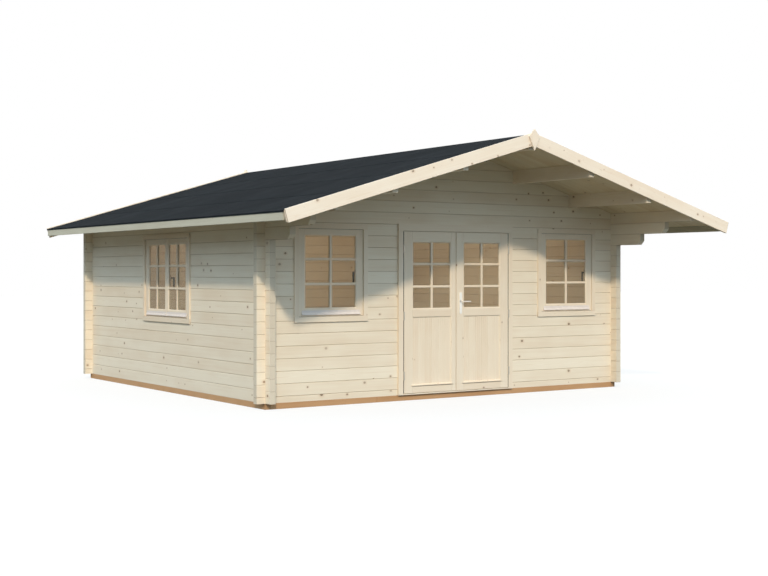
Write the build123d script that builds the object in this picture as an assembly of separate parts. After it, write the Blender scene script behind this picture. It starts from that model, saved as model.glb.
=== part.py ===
from build123d import *
from math import ceil, cos, radians, sin, tan
import os

os.makedirs("parts", exist_ok=True)

# A log cabin of interlocking machined logs, with a low pitched roof that reaches forward as a canopy.
# +X is the cabin's right as seen from the front, +Y is its back, and the front faces -Y.
# The origin is on the ground, at the middle of the whole outline. Every size is in millimetres.

# Clearances
fit = 0.3                    # between pieces that seat on each other
door_gap = 5.0               # over, under and behind each door leaf
hinge_gap = 10.0             # between a leaf's outer edge and the frame
sash_gap = 3.0               # round each window sash
pin_clearance = 0.4          # round a hinge pin or a spindle, on the radius

# Walls
wall_width = 5110            # outer face to outer face, left to right
wall_depth = 5068            # outer face to outer face, front to back
log_thickness = 70
course_height = 135          # what one log covers
corner_overhang = 104        # how far the logs run past the corners
log_chamfer = 5
tongue_width = 30
tongue_height = 10
tongue_clearance = 1.0
eave_above_doorway = 261     # roof's underside at the side walls' outer faces, above the doorway's top

# Canopy logs at the top of the side walls
canopy_log_reaches = (530, 945)    # in front of the front wall, lower log first
canopy_log_chamfer = 48

# Foundation and floor
bearer_height = 65
bearer_width = 70
joist_spacing = 560          # at most, middle to middle
floor_thickness = 19

# Roof
roof_pitch = 16.41           # degrees
front_overhang = 1409        # front wall's face to the face of the front bargeboards
rear_overhang = 223
eave_overhang = 551          # side wall's face to the face of the eave fascia
roof_board_thickness = 19
felt_thickness = 4
felt_lip = 12                # felt turned down over the fascia
purlin_width = 70
purlin_depth = 148
inner_purlin_offset = 897    # from the centreline
outer_purlin_offset = 1797
bargeboard_depth = 138
bargeboard_thickness = 20
backing_depth = 117          # boards behind the bargeboards
backing_thickness = 25
bargeboard_rise = 11         # bargeboards' top edge above the felt
fascia_height = 91
fascia_thickness = 19
finial_width = 150
finial_height = 240
finial_thickness = 18
finial_shoulder = 84         # finial's widest place, below its tip
finial_top = 39              # finial's tip above the bargeboards' apex

# Double door
leaf_spread = 1527           # outer edge of one leaf to outer edge of the other
leaf_height = 1861
leaf_thickness = 40
meeting_gap = 9              # between the leaves, so that their edges pass when both swing
meeting_offset = 20          # the gap between the leaves lies this far left of the centreline
outer_stile_width = 116
inner_stile_edge = 88        # edge of each leaf's panel opening, from the centreline
top_rail_height = 111
middle_rail_height = 82
middle_rail_bottom = 880     # above the leaf's bottom edge
bottom_rail_height = 87
panel_thickness = 18
panel_setback = 11           # behind the leaf's face
glass_thickness = 4
door_glass_setback = 18
rebate_depth = 8             # panels and glass sit this deep in the members round them
threshold_height = 13
frame_thickness = 30         # linings of the door and windows
stop_depth = 15
door_casing_width = 64
door_casing_height = 83
door_proud = 28              # casing and leaves in front of the wall

# Hinges
lower_hinge_height = 204     # lower end of the upper knuckle, above the leaf's bottom edge
middle_hinge_rise = 11       # the same for the middle hinge, above the middle rail's bottom
upper_hinge_drop = 200       # the same for the upper hinge, below the leaf's top edge
knuckle_radius = 8
knuckle_length = 48
knuckle_setoff = 1           # between the knuckles and the leaf's face
hinge_pin_radius = 4
hinge_pin_reach = 36         # pin's length inside the upper knuckle
hinge_plate_thickness = 1.8
hinge_plate_depth = 30

# Lever handles of the right leaf
handle_x = 44
handle_rise = 87             # spindle above the middle rail's top
handle_plate_width = 34
handle_plate_height = 252
handle_plate_thickness = 7
handle_plate_drop = 21       # plate's middle below the spindle
spindle_radius = 4.5
neck_radius = 8
lever_length = 123
lever_height = 18
lever_thickness = 12
lever_standoff = 54          # leaf's face to the lever's outer face
lever_round = 4

# Windows
front_window_offset = 1728   # centreline to the middle of each front window
front_sash_opening = 684
side_sash_opening = 516
sash_opening_height = 828
sash_opening_bottom = 1003   # front windows, above the bearers
sash_stile_width = 76
sash_meeting_width = 35.5    # where two sashes meet
sash_top_height = 56
sash_bottom_height = 78
sash_thickness = 40
sash_glass_setback = 16
window_casing_width = 54
window_head_height = 51
window_sill_height = 61
window_proud = 18            # casing in front of the wall, and of the sash
window_stop_depth = 12

# Places worked out from the sizes above
rise = tan(radians(roof_pitch))
slope_cos = cos(radians(roof_pitch))
slope_sin = sin(radians(roof_pitch))
half_width = wall_width / 2
half_inside = half_width - log_thickness
reach_front = front_overhang + fit + finial_thickness
reach_rear = rear_overhang + fit + finial_thickness
front_face = (reach_front - wall_depth - reach_rear) / 2
rear_face = front_face + wall_depth
base = bearer_height
half_course = course_height / 2
notch_depth = course_height / 4
eave_height = threshold_height + 2 * door_gap + leaf_height + eave_above_doorway
ridge_underside = base + eave_height + half_width * rise
top_course = ceil(eave_height / course_height) - 1
eave_x = half_width + eave_overhang
verge_front = front_face - front_overhang
verge_rear = rear_face + rear_overhang
felt_front = verge_front + bargeboard_thickness + fit
felt_rear = verge_rear - bargeboard_thickness - fit
board_front = felt_front + backing_thickness + fit
board_rear = felt_rear - backing_thickness - fit
leaf_edge = leaf_spread / 2
frame_inner = leaf_edge + hinge_gap
leaf_bottom = base + threshold_height + door_gap
leaf_top = leaf_bottom + leaf_height
hinge_heights = (lower_hinge_height, middle_rail_bottom + middle_hinge_rise, leaf_height - upper_hinge_drop)
handle_height = middle_rail_bottom + middle_rail_height + handle_rise
head_bottom = leaf_top + door_gap
leaf_front = front_face - door_proud
leaf_back = leaf_front + leaf_thickness
sky_height = ridge_underside + purlin_depth + finial_height    # clear of everything on the roof
overcut = 1.0                # how far a hole's tool passes the faces it opens


def save(node, solids):
    """Write the solids of one node as a STEP file."""
    solids = list(solids)
    shape = Compound(children=solids) if len(solids) > 1 else solids[0]
    shape.label = node
    export_step(shape, f"parts/{node}.step")


def block(x0, x1, y0, y1, z0, z1):
    """A box between two corners."""
    return Pos(x0, y0, z0) * Solid.make_box(x1 - x0, y1 - y0, z1 - z0)


def prism_y(points, y0, y1):
    """An outline of (x, z) points, extruded from y0 to y1."""
    wire = Wire.make_polygon([(x, y0, z) for x, z in points], close=True)
    return Solid.extrude(Face(wire), (0, y1 - y0, 0))


def prism_x(points, x0, x1):
    """An outline of (y, z) points, extruded from x0 to x1."""
    wire = Wire.make_polygon([(x0, y, z) for y, z in points], close=True)
    return Solid.extrude(Face(wire), (x1 - x0, 0, 0))


def rod_z(x, y, radius, z0, z1):
    """An upright round rod."""
    return Pos(x, y, z0) * Solid.make_cylinder(radius, z1 - z0)


def rod_y(x, z, radius, y0, y1):
    """A round rod that lies front to back."""
    return Solid.make_cylinder(radius, y1 - y0, Plane((x, y0, z), z_dir=(0, 1, 0)))


def cut(solid, *tools):
    """Cut tools out of a solid and return the solids that remain."""
    result = solid
    for tool in tools:
        result = result - tool
    return list(result.solids())


def roof_underside(x):
    """Height of the roof boards' underside at a distance from the centreline."""
    return ridge_underside - abs(x) * rise


def above_roof(clearance):
    """All that lies above the roof boards' underside, lowered by a clearance."""
    edge = eave_x + corner_overhang
    low = roof_underside(edge) - clearance
    outline = [(-edge, low), (0, ridge_underside - clearance), (edge, low)]
    outline += [(edge, sky_height), (-edge, sky_height)]
    return prism_y(outline, verge_front, verge_rear)


# Logs

def log_section(height, grooved, tongued):
    """A log's outline across its length, as (thickness, height) points from its lower outer edge."""
    top = height - fit
    middle = log_thickness / 2
    tongue = tongue_width / 2
    groove = tongue + tongue_clearance
    groove_top = tongue_height + tongue_clearance
    c = log_chamfer
    outline = [(0, c), (0, top - c), (c, top)] if grooved else [(0, 0), (0, top - c), (c, top)]
    if tongued:
        raised = top + tongue_height
        outline += [(middle - tongue, top), (middle - tongue, raised)]
        outline += [(middle + tongue, raised), (middle + tongue, top)]
    outline += [(log_thickness - c, top), (log_thickness, top - c)]
    if grooved:
        outline += [(log_thickness, c), (log_thickness - c, 0), (middle + groove, 0)]
        outline += [(middle + groove, groove_top), (middle - groove, groove_top)]
        outline += [(middle - groove, 0), (c, 0)]
    else:
        outline += [(log_thickness, 0)]
    return outline


def log_along_x(x0, x1, face, z, height, grooved=True, tongued=True):
    """A log of the front or rear wall. face is its front face."""
    section = log_section(height, grooved, tongued)
    return prism_x([(face + t, z + h) for t, h in section], x0, x1)


def log_along_y(y0, y1, face, z, height, grooved=True, tongued=True):
    """A log of a side wall. face is its left face."""
    section = log_section(height, grooved, tongued)
    return prism_y([(face + t, z + h) for t, h in section], y0, y1)


def corner_notches_x(z, height, face):
    """Notches of a front or rear log where the side walls' logs cross it."""
    tools = []
    for side in (-half_width, half_inside):
        span = (side - fit, side + log_thickness + fit, face - fit, face + log_thickness + fit)
        tools.append(block(*span, z + height - notch_depth - fit / 2, z + height + course_height))
        if height > half_course:
            tools.append(block(*span, z - half_course, z + notch_depth + fit / 2))
    return tools


def corner_notches_y(z, face, top_notch):
    """Notches of a side log where the front and rear walls' logs cross it."""
    tools = []
    for wall in (front_face, rear_face - log_thickness):
        span = (face - fit, face + log_thickness + fit, wall - fit, wall + log_thickness + fit)
        tools.append(block(*span, z - half_course, z + notch_depth + fit / 2))
        if top_notch:
            tools.append(block(*span, z + course_height - notch_depth - fit / 2, z + 2 * course_height))
    return tools


def door_hole():
    """The space that the door's lining fills in the front wall."""
    edge = frame_inner + frame_thickness + fit
    span = (front_face - fit, front_face + log_thickness + fit)
    return block(-edge, edge, *span, base - fit, head_bottom + frame_thickness + fit)


def window_levels(lift):
    """Bottom and top of a window's sash, and of its hole in the wall."""
    sash_bottom = base + sash_opening_bottom - sash_bottom_height + lift
    sash_top = sash_bottom + sash_bottom_height + sash_opening_height + sash_top_height
    courses_below = (sash_bottom - sash_gap - base - lift - half_course) // course_height
    hole_bottom = base + half_course + lift + courses_below * course_height
    hole_top = sash_top + sash_gap + frame_thickness + fit
    return sash_bottom, sash_top, hole_bottom, hole_top


def front_hole(middle):
    """The space that a front window's lining fills in the front wall."""
    levels = window_levels(0)
    edge = front_sash_opening / 2 + sash_stile_width + sash_gap + frame_thickness + fit
    span = (front_face - fit, front_face + log_thickness + fit)
    return block(middle - edge, middle + edge, *span, levels[2] - fit, levels[3])


def side_half():
    """Half the width of the side window's pair of sashes."""
    return sash_gap / 2 + sash_meeting_width + side_sash_opening + sash_stile_width


def side_hole():
    """The space that the side window's lining fills in the left wall."""
    levels = window_levels(-half_course)
    middle = (front_face + rear_face) / 2
    edge = side_half() + sash_gap + frame_thickness + fit
    span = (-half_width - fit, -half_inside + fit)
    return block(*span, middle - edge, middle + edge, levels[2] - fit, levels[3])


def purlin_slots():
    """Slots through the gables for the ridge beam and the purlins."""
    tools = []
    for x in (0, -inner_purlin_offset, inner_purlin_offset, -outer_purlin_offset, outer_purlin_offset):
        bottom = roof_underside(x) - purlin_depth - fit
        edge = purlin_width / 2 + fit
        tools.append(block(x - edge, x + edge, verge_front, verge_rear, bottom, sky_height))
    return tools


def end_wall_courses():
    """Bottom and height of each course in the front and rear walls, up to the ridge."""
    courses = [(base, half_course)]
    z = base + half_course
    while z < ridge_underside - tongue_height:
        courses.append((z, course_height))
        z += course_height
    return courses


def end_wall(face, holes):
    """The logs of a front or rear wall, sorted into the wall below the eaves and its gable."""
    wall = []
    gable = []
    sky = above_roof(fit)
    slots = purlin_slots()
    eave_log_top_crossing = base + top_course * course_height + notch_depth
    for z, height in end_wall_courses():
        crossing = z + height - notch_depth
        if crossing <= eave_log_top_crossing + fit:
            end = half_width + corner_overhang
            log = log_along_x(-end, end, face, z, height, z > base)
            near = [hole for hole in holes if hole.bounding_box().min.Z < z + height + tongue_height
                    and hole.bounding_box().max.Z > z]
            wall += cut(log, *corner_notches_x(z, height, face), *near)
        else:
            edge = half_inside - fit
            log = log_along_x(-edge, edge, face, z, height)
            gable += cut(log, sky, *slots)
    return wall, gable


def side_wall(face, holes):
    """The logs of one side wall, with the canopy logs and the eave log on top."""
    logs = []
    reaches = dict(zip(range(top_course - len(canopy_log_reaches), top_course), canopy_log_reaches))
    for course in range(top_course + 1):
        z = base + course * course_height
        start = front_face - reaches.get(course, corner_overhang)
        end = rear_face + corner_overhang
        tools = corner_notches_y(z, face, course < top_course)
        height = course_height
        if course == top_course:
            start = board_front + fit
            end = board_rear - fit
            height = 2 * course_height
            tools.append(above_roof(fit))
        log = log_along_y(start, end, face, z, height, course > 0, course < top_course)
        if course in reaches:
            c = canopy_log_chamfer
            corner = [(start - fit, z - fit), (start + c, z - fit), (start - fit, z + c)]
            tools.append(prism_x(corner, face - fit, face + log_thickness + fit))
        tools += [hole for hole in holes if hole.bounding_box().min.Z < z + height + tongue_height
                  and hole.bounding_box().max.Z > z]
        logs += cut(log, *tools)
    return logs


# Foundation and floor

def foundation_bearers():
    """Treated timbers under the walls, the side ones from front to back."""
    outer = -half_width
    inner = -half_width + bearer_width
    side = [block(outer, inner, front_face, rear_face, 0, base)]
    side.append(block(-inner, -outer, front_face, rear_face, 0, base))
    ends = [block(inner + fit, -inner - fit, y, y + bearer_width, 0, base)
            for y in (front_face, rear_face - bearer_width)]
    return side + ends


def floor_joists():
    """Timbers from the front bearer to the rear one, evenly spaced under the floor."""
    clear = 2 * (half_width - bearer_width)
    bays = ceil(clear / joist_spacing)
    joists = []
    for number in range(1, bays):
        x = -clear / 2 + number * clear / bays
        y0 = front_face + bearer_width + fit
        y1 = rear_face - bearer_width - fit
        joists.append(block(x - bearer_width / 2, x + bearer_width / 2, y0, y1, 0, base))
    return joists


def floor():
    """The floor boards, as one layer between the walls."""
    edge = half_inside - fit
    y0 = front_face + log_thickness + fit
    y1 = rear_face - log_thickness - fit
    return block(-edge, edge, y0, y1, base, base + floor_thickness)


# Roof

def beam(x):
    """A purlin, or the ridge beam, bevelled to the roof."""
    bottom = roof_underside(x) - purlin_depth
    half = purlin_width / 2
    blank = block(x - half, x + half, board_front + fit, board_rear - fit, bottom, sky_height)
    return cut(blank, above_roof(fit))[0]


def roof_layer(side, start, thickness, edge_x, y0, y1, lip=0):
    """One layer of a roof side, from the ridge to edge_x. start is its height above the underside."""
    def at(x, above):
        return (side * x, roof_underside(x) + above)
    low = start / slope_cos
    high = (start + thickness) / slope_cos
    outline = [at(fit / 2, low), at(fit / 2, high), at(edge_x, high)]
    if lip:
        inner = edge_x - thickness
        outline += [at(edge_x, low - lip), at(inner, low - lip), at(inner, low)]
    else:
        outline += [at(edge_x, low)]
    return prism_y(outline, y0, y1)


def verge_board(side, top, depth, y0, y1):
    """A board along one slope of the roof's edge, square cut at the eave. top is above the underside."""
    end_z = roof_underside(eave_x) + top / slope_cos
    ridge_z = roof_underside(fit / 2) + top / slope_cos
    outline = [(side * fit / 2, ridge_z), (side * eave_x, end_z)]
    outline += [(side * (eave_x - depth * slope_sin), end_z - depth * slope_cos)]
    outline += [(side * fit / 2, ridge_z - depth / slope_cos)]
    return prism_y(outline, y0, y1)


def bargeboards(outer, inner_side):
    """Face and backing boards at one end of the roof. inner_side is 1 where the roof lies behind."""
    covered = roof_board_thickness + felt_thickness + bargeboard_rise
    face_back = outer + inner_side * bargeboard_thickness
    backing_front = face_back + inner_side * fit
    backing_back = backing_front + inner_side * backing_thickness
    face_span = sorted((outer, face_back))
    backing_span = sorted((backing_front, backing_back))
    boards = []
    for side in (-1, 1):
        boards.append(verge_board(side, covered, bargeboard_depth, *face_span))
        boards.append(verge_board(side, roof_board_thickness, backing_depth, *backing_span))
    return boards


def eave_fascia(side):
    """The board that closes the ends of the roof boards along one eave."""
    outer = eave_x
    inner = eave_x - fascia_thickness
    covered = roof_board_thickness / slope_cos - fit
    bottom = roof_underside(outer) + covered - fascia_height
    outline = [(side * x, roof_underside(x) + covered) for x in (inner, outer)]
    outline += [(side * outer, bottom), (side * inner, bottom)]
    return prism_y(outline, board_front + fit, board_rear - fit)


def finial(y0):
    """A kite shaped board over the joint of two bargeboards."""
    covered = roof_board_thickness + felt_thickness + bargeboard_rise
    top = ridge_underside + covered / slope_cos + finial_top
    shoulder = top - finial_shoulder
    half = finial_width / 2
    outline = [(0, top), (half, shoulder), (0, top - finial_height), (-half, shoulder)]
    return prism_y(outline, y0, y0 + finial_thickness)


# Door

def door_frame():
    """Lining of the doorway with its stops, and the threshold."""
    stop_front = leaf_back + door_gap
    inside = front_face + log_thickness
    outer = frame_inner + frame_thickness
    stop = frame_inner - stop_depth
    solids = []
    for side in (-1, 1):
        corners = [(frame_inner, front_face), (outer, front_face), (outer, inside)]
        corners += [(stop, inside), (stop, stop_front), (frame_inner, stop_front)]
        wire = Wire.make_polygon([(side * x, y, base) for x, y in corners], close=True)
        solids.append(Solid.extrude(Face(wire), (0, 0, head_bottom - fit - base)))
    lining = block(-outer, outer, front_face, inside, head_bottom, head_bottom + frame_thickness)
    head_stop = block(-stop + fit, stop - fit, stop_front, inside, head_bottom - stop_depth, head_bottom)
    solids += list((lining + head_stop).solids())
    sill_top = base + threshold_height
    sill = block(-frame_inner + fit, frame_inner - fit, leaf_front, stop_front - fit, base, sill_top)
    inner_sill = block(-stop + fit, stop - fit, stop_front - fit, inside, base, sill_top)
    solids += list((sill + inner_sill).solids())
    return solids


def door_casing():
    """Boards on the front wall's face round the doorway."""
    outer = frame_inner + door_casing_width
    head_top = head_bottom + door_casing_height
    solids = [block(-outer, outer, leaf_front, front_face - fit, head_bottom, head_top)]
    for x0, x1 in ((-outer, -frame_inner), (frame_inner, outer)):
        solids.append(block(x0, x1, leaf_front, front_face - fit, base, head_bottom - fit))
    return solids


def leaf_parts(side):
    """Members, panel and glass of one door leaf. side is -1 for the left leaf."""
    meeting = -meeting_offset + side * meeting_gap / 2
    outer = side * leaf_edge
    panel_outer = side * (leaf_edge - outer_stile_width)
    panel_inner = side * inner_stile_edge
    inside = sorted((panel_inner, panel_outer))
    span = (leaf_front, leaf_back)
    middle_bottom = leaf_bottom + middle_rail_bottom
    middle_top = middle_bottom + middle_rail_height
    members = [block(*sorted((outer, panel_outer)), *span, leaf_bottom, leaf_top)]
    members.append(block(*sorted((meeting, panel_inner)), *span, leaf_bottom, leaf_top))
    rails = [(leaf_bottom, leaf_bottom + bottom_rail_height), (middle_bottom, middle_top)]
    rails.append((leaf_top - top_rail_height, leaf_top))
    members += [block(inside[0] + fit, inside[1] - fit, *span, z0, z1) for z0, z1 in rails]
    r = rebate_depth

    def filling(y0, thickness, z0, z1, grow):
        return block(inside[0] - r - grow, inside[1] + r + grow, y0 - grow, y0 + thickness + grow,
                     z0 - r - grow, z1 + r + grow)
    panel = (leaf_front + panel_setback, panel_thickness, leaf_bottom + bottom_rail_height, middle_bottom)
    glass = (leaf_front + door_glass_setback, glass_thickness, middle_top, leaf_top - top_rail_height)
    grooved = []
    for member in members:
        grooved += cut(member, filling(*panel, fit), filling(*glass, fit))
    if side > 0:
        radius = spindle_radius + pin_clearance
        bore = rod_y(handle_x, leaf_bottom + handle_height, radius, leaf_front - overcut, leaf_back + overcut)
        grooved = [solid for member in grooved for solid in cut(member, bore)]
    return grooved, filling(*panel, 0), filling(*glass, 0)


def hinge_halves(side):
    """Frame halves with their pins, and leaf halves, of the hinges of one leaf."""
    x = side * (leaf_edge + hinge_gap / 2)
    y = leaf_front - knuckle_radius - knuckle_setoff
    plate_back = leaf_front + hinge_plate_depth
    frame_plate = sorted((side * frame_inner, side * (frame_inner - hinge_plate_thickness)))
    leaf_plate = sorted((side * leaf_edge, side * (leaf_edge + hinge_plate_thickness)))
    gap = 2 * fit
    frame_halves = []
    leaf_halves = []
    for height in hinge_heights:
        middle = leaf_bottom + height
        lower = rod_z(x, y, knuckle_radius, middle - knuckle_length, middle - gap)
        lower += block(*frame_plate, y, plate_back, middle - knuckle_length, middle - gap)
        lower += rod_z(x, y, hinge_pin_radius, middle - gap, middle + hinge_pin_reach)
        frame_halves += list(lower.solids())
        upper = rod_z(x, y, knuckle_radius, middle, middle + knuckle_length)
        upper += block(*leaf_plate, y, plate_back, middle, middle + knuckle_length)
        bore = rod_z(x, y, hinge_pin_radius + pin_clearance, middle - overcut, middle + hinge_pin_reach + gap)
        leaf_halves += cut(upper, bore)
    return frame_halves, leaf_halves


def handle_plates():
    """Long back plates on both faces of the right leaf."""
    z = leaf_bottom + handle_height
    middle = z - handle_plate_drop
    half = handle_plate_width / 2
    tall = handle_plate_height / 2
    reach = handle_plate_thickness + overcut
    bore = rod_y(handle_x, z, neck_radius + pin_clearance, leaf_front - reach, leaf_back + reach)
    plates = []
    for y0 in (leaf_front - handle_plate_thickness, leaf_back):
        y1 = y0 + handle_plate_thickness
        plate = block(handle_x - half, handle_x + half, y0, y1, middle - tall, middle + tall)
        plates += cut(plate, bore)
    return plates


def lever_handle():
    """Both levers on their common spindle."""
    z = leaf_bottom + handle_height
    outer = leaf_front - lever_standoff
    inner = leaf_back + lever_standoff
    half = lever_height / 2
    handle = rod_y(handle_x, z, spindle_radius, leaf_front - overcut, leaf_back + overcut)
    for y0, y1 in ((outer, outer + lever_thickness), (inner - lever_thickness, inner)):
        bar = block(handle_x - neck_radius, handle_x + lever_length, y0, y1, z - half, z + half)
        bar = bar.fillet(lever_round, bar.edges().filter_by(Axis.X))
        handle += bar
    handle += rod_y(handle_x, z, neck_radius, outer + lever_thickness / 2, leaf_front - fit)
    handle += rod_y(handle_x, z, neck_radius, leaf_back + fit, inner - lever_thickness / 2)
    return handle.solids()[0]


# Windows

def sash(x0, x1, stile_left, stile_right, bottom, top, y0):
    """Members and glass of one sash that faces -Y, between x0 and x1."""
    left = x0 + stile_left
    right = x1 - stile_right
    low = bottom + sash_bottom_height
    high = top - sash_top_height
    y1 = y0 + sash_thickness
    members = [block(x0, left, y0, y1, bottom, top), block(right, x1, y0, y1, bottom, top)]
    members += [block(left + fit, right - fit, y0, y1, z0, z1) for z0, z1 in ((bottom, low), (high, top))]
    r = rebate_depth

    def pane(grow):
        front = y0 + sash_glass_setback
        return block(left - r - grow, right + r + grow, front - grow, front + glass_thickness + grow,
                     low - r - grow, high + r + grow)
    grooved = [solid for member in members for solid in cut(member, pane(fit))]
    return grooved, pane(0)


def window_frame(edge, levels, wall_face):
    """Lining, stops and casing of a window about X = 0, facing -Y. edge is half the sashes' width."""
    sash_bottom, sash_top, hole_bottom, hole_top = levels
    inner = edge + sash_gap
    outer = inner + frame_thickness
    low = sash_bottom - sash_gap
    high = sash_top + sash_gap
    inside = wall_face + log_thickness
    stop_front = wall_face + sash_thickness + fit
    stop = edge - window_stop_depth
    solids = []
    for side in (-1, 1):
        corners = [(inner, wall_face), (outer, wall_face), (outer, inside)]
        corners += [(stop, inside), (stop, stop_front), (inner, stop_front)]
        wire = Wire.make_polygon([(side * x, y, low + fit) for x, y in corners], close=True)
        solids.append(Solid.extrude(Face(wire), (0, 0, high - low - 2 * fit)))
    sill = (hole_bottom, low, low, sash_bottom + window_stop_depth)
    head = (high, high + frame_thickness, sash_top - window_stop_depth, high)
    for z0, z1, stop0, stop1 in (sill, head):
        lining = block(-outer, outer, wall_face, inside, z0, z1)
        strip = block(-stop + fit, stop - fit, stop_front, inside, stop0, stop1)
        solids += list((lining + strip).solids())
    front = wall_face - window_proud
    back = wall_face - fit
    rim = inner + window_casing_width
    solids.append(block(-rim, rim, front, back, high, high + window_head_height))
    solids.append(block(-rim, rim, front, back, low - window_sill_height, low))
    for x0, x1 in ((-rim, -inner), (inner, rim)):
        solids.append(block(x0, x1, front, back, low + fit, high - fit))
    return solids


def front_window(middle):
    """Wooden pieces and glass of a front window."""
    levels = window_levels(0)
    edge = front_sash_opening / 2 + sash_stile_width
    members, glass = sash(-edge, edge, sash_stile_width, sash_stile_width, levels[0], levels[1], front_face)
    place = Pos(middle, 0, 0)
    frame = [place * solid for solid in window_frame(edge, levels, front_face)]
    return frame, [place * member for member in members], place * glass


def side_window():
    """Wooden pieces and glass of the pair of sashes in the left wall."""
    levels = window_levels(-half_course)
    edge = side_half()
    frame = window_frame(edge, levels, 0)
    members = []
    panes = []
    widths = (sash_stile_width, sash_meeting_width)
    for x0, x1, stiles in ((-edge, -sash_gap / 2, widths), (sash_gap / 2, edge, widths[::-1])):
        sash_members, glass = sash(x0, x1, *stiles, levels[0], levels[1], 0)
        members += sash_members
        panes.append(glass)
    place = Pos(-half_width, (front_face + rear_face) / 2, 0) * Rot(0, 0, -90)
    return [place * s for s in frame], [place * s for s in members], [place * s for s in panes]


# The assembly

save("foundation", foundation_bearers() + floor_joists())
save("floor", [floor()])

openings = [door_hole(), front_hole(-front_window_offset), front_hole(front_window_offset)]
front_logs, front_gable = end_wall(front_face, openings)
save("front_wall_left", [log for log in front_logs if log.bounding_box().max.X < 0])
save("front_wall_right", [log for log in front_logs if log.bounding_box().min.X > 0])
over_door = [log for log in front_logs if log.bounding_box().min.X < 0 < log.bounding_box().max.X]
save("front_wall_over_door", over_door)
save("front_gable", front_gable)
rear_logs, rear_gable = end_wall(rear_face - log_thickness, [])
save("rear_wall", rear_logs)
save("rear_gable", rear_gable)
save("left_wall", side_wall(-half_width, [side_hole()]))
save("right_wall", side_wall(half_inside, []))

save("ridge_beam", [beam(0)])
save("left_purlins", [beam(-inner_purlin_offset), beam(-outer_purlin_offset)])
save("right_purlins", [beam(inner_purlin_offset), beam(outer_purlin_offset)])
for side, name in ((-1, "left"), (1, "right")):
    board_edge = eave_x - fascia_thickness - fit
    felt_edge = eave_x + fit + felt_thickness
    boards = roof_layer(side, 0, roof_board_thickness, board_edge, board_front, board_rear)
    felt = roof_layer(side, roof_board_thickness, felt_thickness, felt_edge, felt_front, felt_rear, felt_lip)
    save(f"{name}_roof_boards", [boards])
    save(f"{name}_roof_felt", [felt])
    save(f"{name}_eave_fascia", [eave_fascia(side)])
save("front_bargeboards", bargeboards(verge_front, 1))
save("rear_bargeboards", bargeboards(verge_rear, -1))
save("front_finial", [finial(verge_front - fit - finial_thickness)])
save("rear_finial", [finial(verge_rear + fit)])

save("door_frame", door_frame())
save("door_casing", door_casing())
pins = []
for side, name in ((-1, "left"), (1, "right")):
    members, panel, glass = leaf_parts(side)
    save(f"{name}_door_members", members)
    save(f"{name}_door_panel", [panel])
    save(f"{name}_door_glass", [glass])
    frame_halves, leaf_halves = hinge_halves(side)
    pins += frame_halves
    save(f"{name}_door_hinges", leaf_halves)
save("door_hinge_pins", pins)
save("door_handle_plates", handle_plates())
save("door_handle", [lever_handle()])

for middle, name in ((-front_window_offset, "front_left"), (front_window_offset, "front_right")):
    frame, members, glass = front_window(middle)
    save(f"{name}_window_frame", frame)
    save(f"{name}_window_sash", members)
    save(f"{name}_window_glass", [glass])
frame, members, panes = side_window()
save("side_window_frame", frame)
save("side_window_sashes", members)
save("side_window_glass", panes)

print("front face", round(front_face, 3), "rear face", round(rear_face, 3), "base", base)
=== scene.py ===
"""Looks of the log cabin: timber finishes, roof and floor boards, felt, glazing, fittings and the stage."""

import random
from math import atan, ceil, cos, pi, radians, sin, tan

import bmesh
import bpy
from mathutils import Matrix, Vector


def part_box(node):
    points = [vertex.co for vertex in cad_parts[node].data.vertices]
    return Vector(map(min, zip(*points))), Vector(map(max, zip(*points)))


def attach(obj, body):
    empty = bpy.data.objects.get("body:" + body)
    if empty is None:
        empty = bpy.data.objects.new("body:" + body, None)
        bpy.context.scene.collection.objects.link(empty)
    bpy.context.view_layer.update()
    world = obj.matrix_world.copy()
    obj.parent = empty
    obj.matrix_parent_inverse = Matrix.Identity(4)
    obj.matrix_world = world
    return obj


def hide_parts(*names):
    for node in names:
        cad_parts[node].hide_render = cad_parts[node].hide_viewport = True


bl_info = {
    "name": "Log cabin",
    "version": (1, 0, 0),
    "blender": (4, 5, 0),
    "location": "3D View > Sidebar > Cabin",
    "description": "Dresses a log cabin with its timber, glazing, felt and fittings",
    "category": "Object",
}

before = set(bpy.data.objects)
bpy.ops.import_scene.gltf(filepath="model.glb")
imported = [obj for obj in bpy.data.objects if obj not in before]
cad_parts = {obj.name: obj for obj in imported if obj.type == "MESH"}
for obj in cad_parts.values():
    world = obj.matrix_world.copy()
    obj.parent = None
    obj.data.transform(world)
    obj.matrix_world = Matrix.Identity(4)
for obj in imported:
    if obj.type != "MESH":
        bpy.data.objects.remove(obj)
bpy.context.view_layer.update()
X, Y, Z = 0, 1, 2
UP = Vector((0, 0, 1))
WHITE = (1.0, 1.0, 1.0, 1.0)
ON_EDGE = 0.001                                  # points this near an edge lie on it
# Insets of the door seals at a leaf's front and other edges, and how far the frame's run past its back
SEAL_FRONT, SEAL_END, SEAL_BACK = 0.004, 0.002, 0.003
LENS, SENSOR, SHIFT, FAR = 61.07, 36.0, -0.0209, 400.0
EYE = (-9.259, -14.248, 1.478)                   # the camera's place
EYE_TURN = -33.79                                # its turn about the vertical, in degrees
SUN_WAY = Vector((0.890, 1.409, -1.065))         # the way that the key light shines
LAMP_HEIGHT, LAMP_RADIUS = 1.55, 0.4             # the lamp inside the room, above the middle of its floor


def edge_heights(node, outer_edge):
    """Lowest and highest points of a roof layer at the ridge or at the eave."""
    points = [v.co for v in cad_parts[node].data.vertices]
    edge = (max if outer_edge else min)(abs(p.x) for p in points)
    heights = [p.z for p in points if abs(abs(p.x) - edge) < ON_EDGE]
    return min(heights), max(heights)


def roof_pitch():
    """Angle of the roof, from the top of its boards."""
    low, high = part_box("left_roof_boards")
    return atan((edge_heights("left_roof_boards", False)[1] - edge_heights("left_roof_boards", True)[1])
                / (high.x - low.x))


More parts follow.
